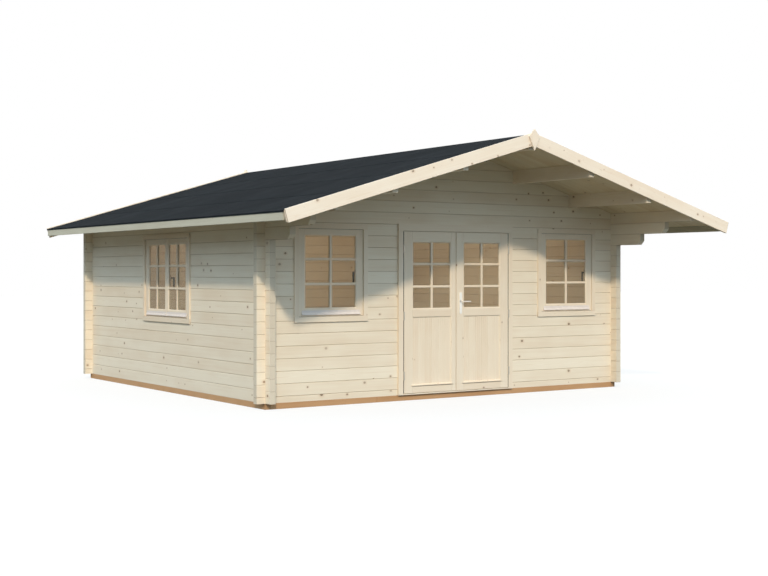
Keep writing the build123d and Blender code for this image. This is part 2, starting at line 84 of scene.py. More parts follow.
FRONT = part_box("front_wall_left")[0].y           # outer face of the front wall
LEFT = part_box("foundation")[0].x                 # outer face of the left wall
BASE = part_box("floor")[0].z                      # top of the foundation
SIDE_MIDDLE = sum(v.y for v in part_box("side_window_frame")) / 2
PITCH = roof_pitch()


# Settings

def size(name, text, value, low=0.0, high=1.0):
    """A length in metres that a user can change."""
    return bpy.props.FloatProperty(name=name, description=text, default=value, min=low, max=high,
                                   unit="LENGTH", precision=4)


def share(name, text, value, high=1.0):
    """A plain number that a user can change."""
    return bpy.props.FloatProperty(name=name, description=text, default=value, min=0.0, max=high)


def colour(name, text, value):
    """A colour that a user can change."""
    return bpy.props.FloatVectorProperty(name=name, description=text, default=value, size=3, min=0.0, max=1.0,
                                         subtype="COLOR")


class CabinColours(bpy.types.PropertyGroup):
    """Colours of the cabin's finishes."""
    log_pale: colour("Pale log", "Planed log, palest", (0.88, 0.80, 0.67))
    log_warm: colour("Warm log", "Planed log, warmest", (0.78, 0.66, 0.52))
    trim_pale: colour("Pale trim", "Bargeboards, palest", (0.89, 0.79, 0.675))
    trim_warm: colour("Warm trim", "Bargeboards, warmest", (0.81, 0.67, 0.535))
    # The fascias take darker, greyer colours than the bargeboards.
    fascia_pale: colour("Pale fascia", "Fascias, palest", (0.56, 0.55, 0.46))
    fascia_warm: colour("Warm fascia", "Fascias, warmest", (0.50, 0.46, 0.37))
    joinery_pale: colour("Pale joinery", "Door and windows, palest", (0.85, 0.75, 0.62))
    joinery_warm: colour("Warm joinery", "Door and windows, warmest", (0.79, 0.66, 0.52))
    # Painted shade: the boards are darker and browner than the logs, which puts the shade under the roof into
    # their colour.
    board_pale: colour("Pale boards", "Roof and floor boards, palest", (0.72, 0.63, 0.46))
    board_warm: colour("Warm boards", "Roof and floor boards, warmest", (0.62, 0.50, 0.33))
    treated_pale: colour("Pale foundation", "Treated timber, palest", (0.58, 0.35, 0.19))
    treated_warm: colour("Warm foundation", "Treated timber, warmest", (0.46, 0.25, 0.12))
    knot: colour("Knot", "Rim of a knot", (0.085, 0.060, 0.042))
    felt: colour("Felt", "Mineral felt between its streaks", (0.010, 0.013, 0.016))
    felt_worn: colour("Worn felt", "Streaks of the mineral felt", (0.018, 0.022, 0.026))
    hinge: colour("Hinges", "Zinc plate of the hinges", (0.52, 0.49, 0.44))
    handle: colour("Handles", "Satin metal of the handles", (0.88, 0.86, 0.80))
    rail: colour("Drip rails", "Grey strips under the panes", (0.76, 0.69, 0.66))
    # On the seals this dark colour also paints the shade in the gaps round the leaves and sashes.
    dark: colour("Dark fittings", "Catches, keyholes and seals", (0.035, 0.028, 0.022))


class TimberSizes(bpy.types.PropertyGroup):
    """Sizes of the logs' courses, of the boards and of the planed edges."""
    course: size("Course", "Height that one log covers", 0.135)
    joint: size("Joint", "How far the shade in a joint reaches up and down from it", 0.0035)
    board_width: size("Board width", "Cover width of a roof or floor board", 0.096)
    board_gap: size("Board gap", "Gap between two boards", 0.0005)
    board_ease: size("Board edge", "Chamfer along a board's edges", 0.0025)
    planed_ease: size("Planed edge", "Rounding of the planed edges", 0.002)
    panel_board: size("Panel board", "Cover width of a board in the door's lower panels", 0.094)
    panel_groove: size("Panel groove", "Half width and depth of the grooves in a panel board", 0.0016)


class FeltSizes(bpy.types.PropertyGroup):
    """Sizes of the roof's felt."""
    width: size("Felt width", "Width of a felt strip up the slope", 1.0, high=2.0)
    lap: size("Felt lap", "How far one strip covers the next", 0.08)


class GlazingSizes(bpy.types.PropertyGroup):
    """Sizes of the bars and beads that hold the glass, and of the rails below it."""
    bar_width: size("Bar width", "Width of a glazing bar across", 0.027)
    post_width: size("Post width", "Width of an upright glazing bar", 0.030)
    bar_depth: size("Bar depth", "How far a bar stands from the glass", 0.012)
    bar_ease: size("Bar edge", "Chamfer along a glazing bar", 0.0035)
    bead_width: size("Bead width", "Width of the beads round the glass", 0.016)
    rebate: size("Rebate", "How far the glass and panels run into their members", 0.008)
    panel_bead: size("Panel bead", "Width of the bead round the door's lower panels", 0.011)
    drip_reach: size("Drip reach", "How far the drip moulding runs past a lower panel at each end", 0.015)
    drip_depth: size("Drip depth", "How far the drip moulding stands out", 0.014)
    drip_height: size("Drip height", "Height of the drip moulding", 0.009)
    drip_lift: size("Drip lift", "From a lower panel's edge up to the top of the drip moulding", 0.004)
    seal: size("Door seal", "Thickness of the strips in the gaps beside the leaves", 0.001)
    door_gap: size("Door gap", "Gap between a leaf and its frame", 0.010)
    meeting: size("Meeting stiles", "Half the width of the side window's two meeting stiles", 0.0355)
    rail_inset: size("Rail inset", "From a sash's edge to the end of its drip rail", 0.042)
    rail_height: size("Rail height", "Height of a drip rail", 0.050)
    rail_lift: size("Rail lift", "From a sash's bottom edge to its drip rail", 0.016)


class StageSettings(bpy.types.PropertyGroup):
    """Light and floor round the cabin."""
    sun: share("Key light", "Strength of the key light", 2.2, 10.0)
    sun_colour: colour("Key light's colour", "Colour of the key light", (1.0, 0.85, 0.65))
    softness: bpy.props.FloatProperty(name="Softness", description="Angle that the key light fills",
                                      default=radians(3.0), subtype="ANGLE")
    fill: share("Fill light", "Strength of the light from above", 1.65, 10.0)
    fill_colour: colour("Fill light's colour", "Colour of the light from above", (0.65, 0.80, 0.91))
    low_colour: colour("Low light", "Light from the sides, on matt surfaces", (0.06, 0.065, 0.06))
    room: bpy.props.FloatProperty(name="Room light", description="Power of the lamp inside the room",
                                  default=50.0, unit="POWER")
    room_colour: colour("Room light's colour", "Colour of the lamp inside the room", (1.0, 0.85, 0.72))
    floor_colour: colour("Floor", "Colour of the floor in a direct view", (0.85, 0.83, 0.80))
    bounce_colour: colour("Bounced light", "Colour that the floor throws back on the cabin", (0.10, 0.10, 0.08))
    floor_glow: share("Floor's glow", "Share of the floor's own white in a direct view", 0.80)
    floor_size: size("Floor size", "Half the width of the floor", 60.0, 1.0, 500.0)


# Materials

class Value:
    """A socket of a node tree, so that sums on it are written as plain expressions."""

    def __init__(self, recipe, socket):
        self.recipe = recipe
        self.socket = socket

    def __add__(self, other):
        return self.recipe.sum("ADD", self, other)

    def __sub__(self, other):
        return self.recipe.sum("SUBTRACT", self, other)

    def __rsub__(self, other):
        return self.recipe.sum("SUBTRACT", other, self)

    def __mul__(self, other):
        return self.recipe.sum("MULTIPLY", self, other)

    def __truediv__(self, other):
        return self.recipe.sum("DIVIDE", self, other)

    def __pow__(self, other):
        return self.recipe.sum("POWER", self, other)

    def __gt__(self, other):
        return self.recipe.sum("GREATER_THAN", self, other)

    def __abs__(self):
        return self.recipe.sum("ABSOLUTE", self)

    __radd__ = __add__
    __rmul__ = __mul__


class Recipe:
    """The nodes of one material, or of the world."""

    def __init__(self, owner):
        owner.use_nodes = True
        self.owner = owner
        self.tree = owner.node_tree
        self.tree.nodes.clear()

    def node(self, kind, settings=None, inputs=None, out=0):
        """Adds a node, sets it up, then fills its sockets with numbers or other values."""
        made = self.tree.nodes.new("ShaderNode" + kind)
        for name, value in (settings or {}).items():
            setattr(made, name, value)
        for name, value in (inputs or {}).items():
            if isinstance(value, Value):
                self.tree.links.new(value.socket, made.inputs[name])
            else:
                made.inputs[name].default_value = value
        return Value(self, made.outputs[out])

    def sum(self, operation, *terms):
        """A Math node."""
        return self.node("Math", {"operation": operation}, dict(enumerate(terms)))

    def mix(self, a, b, factor):
        """A mix of two colours."""
        a, b = [c if isinstance(c, Value) else (*c, 1.0) for c in (a, b)]
        return self.node("Mix", {"data_type": "RGBA"}, {0: factor, 6: a, 7: b}, 2)

    def split(self, vector):
        """A vector as three values."""
        return [self.node("SeparateXYZ", inputs={0: vector}, out=axis) for axis in (X, Y, Z)]

    def place(self):
        """Object coordinates, as three values."""
        return self.split(self.node("TexCoord", out="Object"))

    def vector(self, x, y, z=0.0):
        """Three values as a vector."""
        return self.node("CombineXYZ", inputs={0: x, 1: y, 2: z})

    def own(self, name, out="Fac"):
        """An attribute of the piece."""
        return self.node("Attribute", {"attribute_name": name}, out=out)

    def noise(self, vector, detail=2.0, roughness=0.5):
        """Soft noise, 0 to 1, about one wave to each unit of the vector."""
        return self.node("TexNoise", {"noise_dimensions": "3D"},
                         {"Vector": vector, "Scale": 1.0, "Detail": detail, "Roughness": roughness}, "Fac")

    def grit(self, place, waves, detail=2.0, roughness=0.5):
        """Noise with the same number of waves to a metre in every direction."""
        return self.noise(self.vector(*[p * waves for p in place]), detail, roughness)

    def random(self, value):
        """A random number, 0 to 1, for each value."""
        return self.node("TexWhiteNoise", {"noise_dimensions": "1D"}, {"W": value}, "Value")

    def ease(self, value, low, high):
        """0 below low and 1 above high, with a soft step between."""
        return self.node("MapRange", {"interpolation_type": "SMOOTHSTEP"},
                         {"Value": value, "From Min": low, "From Max": high}, "Result")

    def bump(self, height, distance, strength):
        """A Bump node."""
        return self.node("Bump", inputs={"Height": height, "Distance": distance, "Strength": strength})

    def seen_directly(self):
        """1 for what the camera sees, also in metal and through glass."""
        rays = [self.node("LightPath", out=f"Is {ray} Ray") for ray in ("Camera", "Glossy", "Transmission")]
        return self.sum("MAXIMUM", self.sum("MAXIMUM", rays[0], rays[1]), rays[2])

    def output(self, shader, kind="Material"):
        """Ends the tree and gives its owner."""
        made = self.tree.nodes.new("ShaderNodeOutput" + kind)
        self.tree.links.new(shader.socket, made.inputs["Surface"])
        return self.owner

    def finish(self, sockets):
        """Ends the tree with a Principled shader."""
        return self.output(self.node("BsdfPrincipled", inputs=sockets))


def darker(tint, factor):
    """A colour times a factor, or times one factor for each of its parts."""
    factors = factor if isinstance(factor, tuple) else (factor,) * 3
    return tuple(c * f for c, f in zip(tint, factors))


def timber(r, grain, shade, other, end, tints, knots, cell, knot_size, joint=None):
    """Planed softwood. grain is the place along, across and through a member, in metres from its middle.
    shade and other are the member's own random numbers and end is 1 on end grain. knots is the share of
    the cells that hold a knot, and cell their size along and across. joint is 1 in the joints, where painted
    shade darkens the timber."""
    ring, smallest_knot, knot_growth = 0.0044, 0.0045, 0.0105
    pale, warm, knot = tints
    along, across, through = grain
    drift = r.noise(r.vector(along * 0.9 + shade * 40.0, across * 2.0, through * 2.0), 1.0) - 0.5
    heart_across = across + (other - 0.5) * 0.10 + drift * 0.05
    heart_through = through + 0.012 + shade * 0.035 + drift * 0.03
    radius = r.sum("SQRT", heart_across * heart_across + heart_through * heart_through)
    fibre = r.noise(r.vector(along * 3.0, across * 60.0 + shade * 9.0, through * 60.0)) - 0.5

    place = r.vector(along / cell[0] + other * 17.0, across / cell[1] + shade * 31.0)
    cells = [r.node("TexVoronoi", {"voronoi_dimensions": "2D"},
                    {"Vector": place, "Scale": 1.0, "Randomness": 0.9}, out) for out in ("Position", "Color")]
    away = r.node("VectorMath", {"operation": "SUBTRACT"}, {0: place, 1: cells[0]})
    away = r.node("VectorMath", {"operation": "MULTIPLY"}, {0: away, 1: (cell[0] * 0.8, cell[1], 0.0)})
    far = r.node("VectorMath", {"operation": "LENGTH"}, {0: away}, "Value") + fibre * 0.003
    chance, strength = [r.node("SeparateColor", inputs={0: cells[1]}, out=out) for out in ("Green", "Red")]
    there = chance > 1.0 - knots
    reach = (smallest_knot + (chance - (1.0 - knots)) * (knot_growth / knots)) * knot_size
    core = (1.0 - r.ease(far, reach * 0.80, reach * 1.05)) * there
    rim = r.ease(far, reach * 0.35, reach * 0.95)
    halo = (1.0 - r.ease(far, reach * 0.9, reach * 2.8)) * there

    late = (r.sum("SINE", (radius + halo * 0.006 + fibre * 0.0016) * (2.0 * pi / ring)) * 0.5 + 0.5) ** 3.0
    streak = r.noise(r.vector(along * 0.7 + shade * 13.0, across * 26.0, through * 26.0), 3.0, 0.6)
    fine = r.noise(r.vector(along * 9.0, across * 420.0, through * 420.0), 2.0, 0.6)
    patch = r.noise(r.vector(along * 1.7, across * 3.0 + shade * 20.0, through * 3.0))

    warmth = r.ease(streak * 0.7 + (shade - 0.5) * 0.40 + (patch - 0.5) * 0.8, 0.05, 0.92)
    tint = r.mix(pale, warm, warmth)
    tint = r.mix(tint, darker(warm, (0.92, 0.86, 0.78)), late * 0.26 + (fine - 0.5) * 0.20)
    tint = r.mix(tint, darker(warm, (0.78, 0.64, 0.52)), halo * (0.16 + strength * 0.30))
    heart = r.mix(darker(warm, (0.46, 0.36, 0.29)), knot, rim * 0.55 + strength * 0.40)
    tint = r.mix(tint, heart, core * (0.45 + strength * 0.50))
    end_tint = r.mix(darker(pale, (0.76, 0.74, 0.72)), darker(warm, 0.74), late * 0.45 + (fine - 0.5) * 0.3)
    tint = r.mix(tint, end_tint, end * 0.8)
    # Painted shade in the joints between logs: the timber turns dark brown there.
    if joint is not None:
        tint = r.mix(tint, darker(warm, (0.38, 0.30, 0.23)), joint * 0.60)
    height = late * 0.35 + fine * 0.4 - core * 0.5 + streak * 0.3
    return r.finish({
        "Base Color": tint,
        "Roughness": 0.62 + (streak - 0.5) * 0.14 + late * 0.05 - core * 0.15,
        "IOR": 1.45,
        "Specular IOR Level": 0.25,
        "Normal": r.bump(height, 0.0009, 0.5),
    })


def wall_timber(name, node, along, offset, tints, knots, seed, knot_size=1.0):
    """Timber of a wall of logs, whose courses are found from their height."""
    sizes = bpy.context.scene.cabin_timber
    r = Recipe(bpy.data.materials.new(name))
    place = r.place()
    low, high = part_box(node)
    through = Y if along == X else X
    number = r.sum("FLOOR", (place[Z] - offset) / sizes.course)
    across = place[Z] - offset - (number + 0.5) * sizes.course
    shade = r.random(number + seed)
    other = r.random(number + seed + 31.7)
    grain = (place[along], across, place[through] - (low[through] + high[through]) / 2)
    normal = r.split(r.node("TexCoord", out="Normal"))[along]
    half = sizes.course / 2
    # Painted shade: 1 in the joint at a course's top and bottom edges.
    joint = r.ease(abs(across), half - sizes.joint, half - sizes.joint * 0.2)
    return timber(r, grain, shade, other, r.ease(abs(normal), 0.75, 0.90), tints, knots,
                  (0.42, sizes.course), knot_size, joint)


def member_timber(name, tints, knots, knot_size=1.0, cell=(0.42, 0.10)):
    """Timber of single members, which carry their own grain directions and shade."""
    r = Recipe(bpy.data.materials.new(name))
    shade = r.own("shade")
    return timber(r, r.split(r.own("grain", "Vector")), shade, r.random(shade * 91.3), r.own("end"), tints,
                  knots, cell, knot_size)


def mineral_felt(name, base, worn):
    """Bitumen felt with fine mineral grains, and long faint streaks up the slope."""
    r = Recipe(bpy.data.materials.new(name))
    place = r.place()
    slope, y = abs(place[X]) / cos(PITCH), place[Y]
    shade = r.own("shade")
    streak = r.noise(r.vector(slope * 1.3 + y * 0.5, slope * 0.8 - y * 4.2, shade * 2.0), 4.0, 0.62)
    broad = r.noise(r.vector(slope * 0.4, y * 0.9, 4.0))
    grains = r.grit(place, 650.0, 2.0, 0.7)
    coarse = r.grit(place, 160.0, 3.0, 0.6)
    tint = r.mix(base, worn, r.ease(streak * 0.7 + broad * 0.4 + (shade - 0.5) * 0.06, 0.42, 0.78))
    tint = r.mix(tint, darker(worn, 2.2), r.ease(grains, 0.58, 0.75) * 0.30)
    tint = r.mix(tint, darker(base, 0.4), r.ease(coarse, 0.55, 0.75) * 0.4)
    return r.finish({
        "Base Color": tint,
        "Roughness": 0.86 + (coarse - 0.5) * 0.2,
        "Specular IOR Level": 0.03,
        "Normal": r.bump(grains * 0.5 + coarse * 0.8 + streak * 1.2, 0.0016, 0.6),
    })


def metal(name, tint, roughness, along=Z):
    """Brushed metal with fine lines and faint marks."""
    r = Recipe(bpy.data.materials.new(name))
    place = r.place()
    waves_across, waves_along = 900.0, 30.0
    stretch = [waves_along if axis == along else waves_across for axis in (X, Y, Z)]
    lines = r.noise(r.vector(*[p * s for p, s in zip(place, stretch)]), 2.0, 0.6)
    dull = r.ease(r.grit(place, 55.0, 3.0, 0.6), 0.45, 0.8)
    return r.finish({
        "Base Color": r.mix(tint, darker(tint, 0.72), dull * 0.5 + (lines - 0.5) * 0.3),
        "Roughness": roughness + (lines - 0.5) * 0.12 + dull * 0.12,
        "Metallic": 1.0,
        "Normal": r.bump(lines, 0.0002, 0.35),
    })


def coated(name, tint, roughness):
    """Powder coated metal or hard rubber, with a fine orange peel."""
    r = Recipe(bpy.data.materials.new(name))
    place = r.place()
    peel = r.grit(place, 420.0)
    dust = r.grit(place, 24.0, 3.0, 0.6)
    return r.finish({
        "Base Color": r.mix(tint, tuple(c * 1.08 + 0.01 for c in tint), r.ease(dust, 0.4, 0.8)),
        "Roughness": roughness + (dust - 0.5) * 0.2,
        "Specular IOR Level": 0.25,
        "Normal": r.bump(peel, 0.0002, 0.4),
    })


def pane(name):
    """Clear glass that lets the room behind it show, with a trace of dust and a faint brown layer that paints
    in the lit room behind it.
    """
    r = Recipe(bpy.data.materials.new(name))
    haze = r.ease(r.grit(r.place(), 3.0, 4.0, 0.6), 0.35, 0.8)
    clear = r.node("BsdfTransparent", inputs={"Color": (0.92, 0.95, 0.94, 1.0)})
    # The brown base colour of this layer is painted: it stands in for the warm, lit room seen through the
    # glass.
    shine_and_painted_room = r.node("BsdfPrincipled", inputs={
        "Base Color": r.mix((0.30, 0.27, 0.22), (0.42, 0.39, 0.33), haze),
        "Roughness": 0.03 + haze * 0.05,
        "IOR": 1.52,
    })
    edge = r.node("LayerWeight", inputs={"Blend": 0.5}, out="Facing") ** 5.0
    return r.output(r.node("MixShader", inputs={0: edge + 0.13 + haze * 0.03, 1: clear, 2: shine_and_painted_room}))


def make_finishes():
    """Every material, by the name of its finish."""
    c = bpy.context.scene.cabin_colours
    half_up = BASE + bpy.context.scene.cabin_timber.course / 2

    def tints(kind):
        return [tuple(getattr(c, part)) for part in (f"{kind}_pale", f"{kind}_warm", "knot")]
    logs = tints("log")
    return {
        "front_logs": wall_timber("front_logs", "front_wall_left", X, half_up, logs, knots=0.30, seed=3.0),
        "gable_logs": wall_timber("gable_logs", "front_gable", X, half_up, logs, knots=0.55, seed=3.0,
                                  knot_size=0.85),
        "rear_logs": wall_timber("rear_logs", "rear_wall", X, half_up, logs, knots=0.35, seed=57.0),
        "left_logs": wall_timber("left_logs", "left_wall", Y, BASE, logs, knots=0.34, seed=11.0,
                                 knot_size=0.9),
        "right_logs": wall_timber("right_logs", "right_wall", Y, BASE, logs, knots=0.34, seed=83.0,
                                  knot_size=0.9),
        "beams": member_timber("beams", logs, knots=0.40, knot_size=0.9),
        "trim": member_timber("trim", tints("trim"), knots=0.60, knot_size=0.9, cell=(0.36, 0.09)),
        "fascia": member_timber("fascia", tints("fascia"), knots=0.40, knot_size=0.8),
        "treated": member_timber("treated", tints("treated"), knots=0.30, knot_size=0.8),
        "joinery": member_timber("joinery", tints("joinery"), knots=0.12, knot_size=0.7),
        "boards": member_timber("boards", tints("board"), knots=0.30, knot_size=0.9),
        "felt": mineral_felt("felt", tuple(c.felt), tuple(c.felt_worn)),
        "zinc": metal("zinc", tuple(c.hinge), roughness=0.42),
        "plate_metal": metal("plate_metal", tuple(c.handle), roughness=0.34),
        "lever_metal": metal("lever_metal", tuple(c.handle), roughness=0.28, along=X),
        "rail": coated("rail", tuple(c.rail), roughness=0.75),
        "dark": coated("dark", tuple(c.dark), roughness=0.45),
        "glass": pane("glass"),
    }


FINISHES = {}


def finish(name):
    """A material by the name of its finish."""
    if not FINISHES:
        FINISHES.update(make_finishes())
    return FINISHES[name]


# Shapes

def put(name, mesh, body, slot, *replaced):
    """A finished piece: a mesh that rides on a body and stands for CAD nodes."""
    piece = bpy.data.objects.new(name, mesh)
    bpy.context.scene.collection.objects.link(piece)
    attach(piece, body)
    if replaced:
        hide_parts(*replaced)


def mesh_from(name, bm, *materials):
    """The bmesh as a mesh with outward faces."""
    bmesh.ops.recalc_face_normals(bm, faces=bm.faces)
    mesh = bpy.data.meshes.new(name)
    bm.to_mesh(mesh)
    bm.free()
    for material in materials:
        mesh.materials.append(material)
    return mesh


def put_shape(name, bm, finish_name, body, slot, *replaced):
    """A finished piece straight from its bmesh."""
    put(name, mesh_from(name, bm, finish(finish_name)), body, slot, *replaced)


def facing(origin, side):
    """A window's own directions as a function: u across, w into the room and v up."""
    if side:
        return lambda u, w, v: Vector((LEFT + w, origin - u, v))
    return lambda u, w, v: Vector((origin + u, FRONT + w, v))


def straight(u, w, v):
    """Plain coordinates."""
    return Vector((u, w, v))


def eased_box(bm, low, high, ease, place=straight):
    """A box with its edges taken off, from low to high in (u, w, v)."""
    corners = [bm.verts.new(place(u, w, v)) for u in (low[0], high[0]) for w in (low[1], high[1])
               for v in (low[2], high[2])]
    faces = []
    for numbers in ((0, 1, 3, 2), (4, 6, 7, 5), (0, 4, 5, 1), (2, 3, 7, 6), (0, 2, 6, 4), (1, 5, 7, 3)):
        faces.append(bm.faces.new([corners[k] for k in numbers]))
    if ease:
        edges = list({e for f in faces for e in f.edges})
        bmesh.ops.bevel(bm, geom=edges, offset=ease, segments=1, profile=0.5, affect="EDGES")


def picture_frame(bm, u0, u1, v0, v1, section, place):
    """A mitred moulding inside a rectangle. section holds (inset, w) points of its closed outline."""
    rings = []
    for inset, w in section:
        a, b, c, d = u0 + inset, u1 - inset, v0 + inset, v1 - inset
        rings.append([bm.verts.new(place(u, w, v)) for u, v in ((a, c), (b, c), (b, d), (a, d))])
    for ring, following in zip(rings, rings[1:] + rings[:1]):
        for k in range(4):
            bm.faces.new([ring[k], ring[k - 3], following[k - 3], following[k]])


def prism(bm, outline, start, end, place):
    """A closed outline of (p, q) points, carried straight from start to end by place(p, q, along)."""
    rings = [[bm.verts.new(place(p, q, along)) for p, q in outline] for along in (start, end)]
    for k in range(len(outline)):
        bm.faces.new([rings[0][k - 1], rings[0][k], rings[1][k], rings[1][k - 1]])
    for ring in rings:
        bm.faces.new(ring)


def round_bar(bm, start, end, radius, sides=20, end_radius=None):
    """A round bar between two points."""
    start, end = Vector(start), Vector(end)
    turn = (end - start).to_track_quat("Z", "Y").to_matrix().to_4x4()
    turn.translation = (start + end) / 2
    made = bmesh.ops.create_cone(bm, cap_ends=True, segments=sides, radius1=radius,
                                 radius2=radius if end_radius is None else end_radius,
                                 depth=(end - start).length, matrix=turn)
    for face in {f for v in made["verts"] for f in v.link_faces}:
        face.smooth = len(face.verts) == 4


def swept(bm, points, radii, sides, flat):
    """A closed bar along level points, with an oval section that is flat times as deep as it is high."""
    points = [Vector(p) for p in points]
    turns = [2 * pi * n / sides for n in range(sides)]
    rings = []
    for k, point in enumerate(points):
        ahead = (points[min(k + 1, len(points) - 1)] - points[max(k - 1, 0)]).normalized()
        out = ahead.cross(UP).normalized() * flat
        rings.append([bm.verts.new(point + (out * cos(t) + UP * sin(t)) * radii[k]) for t in turns])
    for ring, following in zip(rings, rings[1:]):
        for n in range(sides):
            face = bm.faces.new([ring[n], ring[n - sides + 1], following[n - sides + 1], following[n]])
            face.smooth = True
    for ring in (rings[0], rings[-1]):
        bm.faces.new(ring)


def members(bm):
    """The separate members of a bmesh, as lists of faces."""
    seen = set()
    for first in bm.faces:
        if first in seen:
            continue
        seen.add(first)
        group, waiting = [], [first]
        while waiting:
            face = waiting.pop()
            group.append(face)
            for near in {f for e in face.edges for f in e.link_faces} - seen:
                seen.add(near)
                waiting.append(near)
        yield sorted(group, key=lambda f: f.index)


def grain_directions(edge, group):
    """Along, across and through a member, or one face of it, whose grain runs along an edge."""
    along = (edge.verts[1].co - edge.verts[0].co).normalized()
    broad = max((f for f in group if abs(f.normal.dot(along)) < 0.1), key=lambda f: f.calc_area())
    through = broad.normal.copy()
    return along, through.cross(along), through


def grained(bm, seed=None, upright=False, mitred=False):
    """Gives each member its grain directions and end grain, which the timber reads, and its own shade.
    The grain follows a member's longest edge, or on mitred mouldings each face's own."""
    bm.normal_update()
    bm.faces.index_update()
    grain = bm.loops.layers.float_vector.new("grain")
    end = bm.faces.layers.float.new("end")
    shade = bm.verts.layers.float.new("shade") if seed is not None else None
    chance = random.Random(seed)
    for group in members(bm):
        corners = sorted({v for f in group for v in f.verts}, key=lambda v: v.co[:])
        middle = Vector([(min(v.co[k] for v in corners) + max(v.co[k] for v in corners)) / 2 for k in range(3)])
        if shade:
            tone = chance.random()
            for v in corners:
                v[shade] = tone
        edges = sorted({e for f in group for e in f.edges}, key=lambda e: [c for v in e.verts for c in v.co])
        if upright:
            directions = (UP, Vector((1, 0, 0)), Vector((0, 1, 0)))
        else:
            directions = grain_directions(max(edges, key=lambda e: round(e.calc_length(), 5)), group)
        for face in group:
            if mitred:
                directions = grain_directions(max(face.edges, key=lambda e: e.calc_length()), [face])
            face[end] = float(abs(face.normal.dot(directions[0])) > 0.8)
            for loop in face.loops:
                loop[grain] = [(loop.vert.co - middle).dot(d) for d in directions]


def eased_copy(name, node, ease, finish_name, body, slot, seed=1, upright=False):
    """A piece that stands for a CAD node, with its sharp edges taken off and grain along each member."""
    weld, flat_angle, sharp_angle = 2e-5, radians(0.5), radians(20)
    bm = bmesh.new()
    bm.from_mesh(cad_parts[node].data)
    bmesh.ops.remove_doubles(bm, verts=bm.verts, dist=weld)
    bmesh.ops.dissolve_limit(bm, angle_limit=flat_angle, verts=bm.verts, edges=bm.edges)
    sharp = [e for e in bm.edges if len(e.link_faces) == 2 and e.is_convex
             and e.calc_face_angle(0.0) > sharp_angle]
    bmesh.ops.bevel(bm, geom=sharp, offset=ease, segments=2, profile=0.5, affect="EDGES", clamp_overlap=True)
    grained(bm, seed, upright)
    put_shape(name, bm, finish_name, body, slot, node)


def painted(node, finish_name):
    """Gives a CAD node that stays its finish."""
    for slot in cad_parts[node].material_slots:
        slot.material = finish(finish_name)


def row_tree():
    """Geometry Nodes that repeat one piece in a straight row, with a random shade for each copy."""
    name = "Straight row"
    if name in bpy.data.node_groups:
        return bpy.data.node_groups[name]
    tree = bpy.data.node_groups.new(name, "GeometryNodeTree")
    for label, kind in (("Piece", "Geometry"), ("Count", "Int"), ("Step", "Vector"), ("Seed", "Int"),
                        ("Finish", "Material")):
        tree.interface.new_socket(label, in_out="INPUT", socket_type="NodeSocket" + kind)
    tree.interface.new_socket("Row", in_out="OUTPUT", socket_type="NodeSocketGeometry")
    given = tree.nodes.new("NodeGroupInput")
    line = tree.nodes.new("GeometryNodeMeshLine")
    line.mode = "OFFSET"
    copies = tree.nodes.new("GeometryNodeInstanceOnPoints")
    chance = tree.nodes.new("FunctionNodeRandomValue")
    chance.data_type = "FLOAT"
    store = tree.nodes.new("GeometryNodeStoreNamedAttribute")
    store.data_type = "FLOAT"
    store.domain = "INSTANCE"
    store.inputs["Name"].default_value = "shade"
    real = tree.nodes.new("GeometryNodeRealizeInstances")
    paint = tree.nodes.new("GeometryNodeSetMaterial")
    result = tree.nodes.new("NodeGroupOutput")
    value = [s for s in store.inputs if s.name == "Value" and s.type == "VALUE"][0]
    shade = [s for s in chance.outputs if s.type == "VALUE"][0]
    for start, end in ((given.outputs["Count"], line.inputs["Count"]),
                       (given.outputs["Step"], line.inputs["Offset"]),
                       (line.outputs[0], copies.inputs["Points"]),
                       (given.outputs["Piece"], copies.inputs["Instance"]),
                       (given.outputs["Seed"], chance.inputs["Seed"]),
                       (copies.outputs[0], store.inputs["Geometry"]), (shade, value),
                       (store.outputs[0], real.inputs[0]), (real.outputs[0], paint.inputs[0]),
                       (given.outputs["Finish"], paint.inputs["Material"]),
                       (paint.outputs[0], result.inputs[0])):
        tree.links.new(start, end)
    return tree


def row(mesh, count, step, material, seed):
    """A mesh repeated in a straight row by Geometry Nodes, as a plain mesh."""
    tree = row_tree()
    helper = bpy.data.objects.new(mesh.name, mesh)
    bpy.context.scene.collection.objects.link(helper)
    modifier = helper.modifiers.new("Row", "NODES")
    modifier.node_group = tree
    values = {"Count": count, "Step": step, "Seed": seed, "Finish": material}
    for socket in tree.interface.items_tree:
        if socket.in_out == "INPUT" and socket.name in values:
            modifier[socket.identifier] = values[socket.name]
    graph = bpy.context.evaluated_depsgraph_get()
    made = bpy.data.meshes.new_from_object(helper.evaluated_get(graph))
    bpy.data.objects.remove(helper)
    return made


def joined(name, parts, body, slot, *replaced):
    """Several meshes as one piece."""
    bm = bmesh.new()
    materials = []
    for part in parts:
        before = len(bm.faces)
        bm.from_mesh(part)
        bm.faces.ensure_lookup_table()
        for material in part.materials:
            if material not in materials:
                materials.append(material)
        for face in bm.faces[before:]:
            face.material_index = materials.index(part.materials[face.material_index])
    put(name, mesh_from(name, bm, *materials), body, slot, *replaced)


# Pieces

class CABIN_OT_logs(bpy.types.Operator):
    """Gives the log walls and gables their planed timber"""
    bl_idname = "cabin.logs"
    bl_label = "Log walls"
    bl_options = {"REGISTER", "UNDO"}

    def execute(self, context):
        for node, name in (("front_wall_left", "front_logs"), ("front_wall_right", "front_logs"),
                           ("front_wall_over_door", "front_logs"), ("front_gable", "gable_logs"),
                           ("rear_wall", "rear_logs"), ("rear_gable", "rear_logs"),
                           ("left_wall", "left_logs"), ("right_wall", "right_logs")):
            painted(node, name)
        return {"FINISHED"}


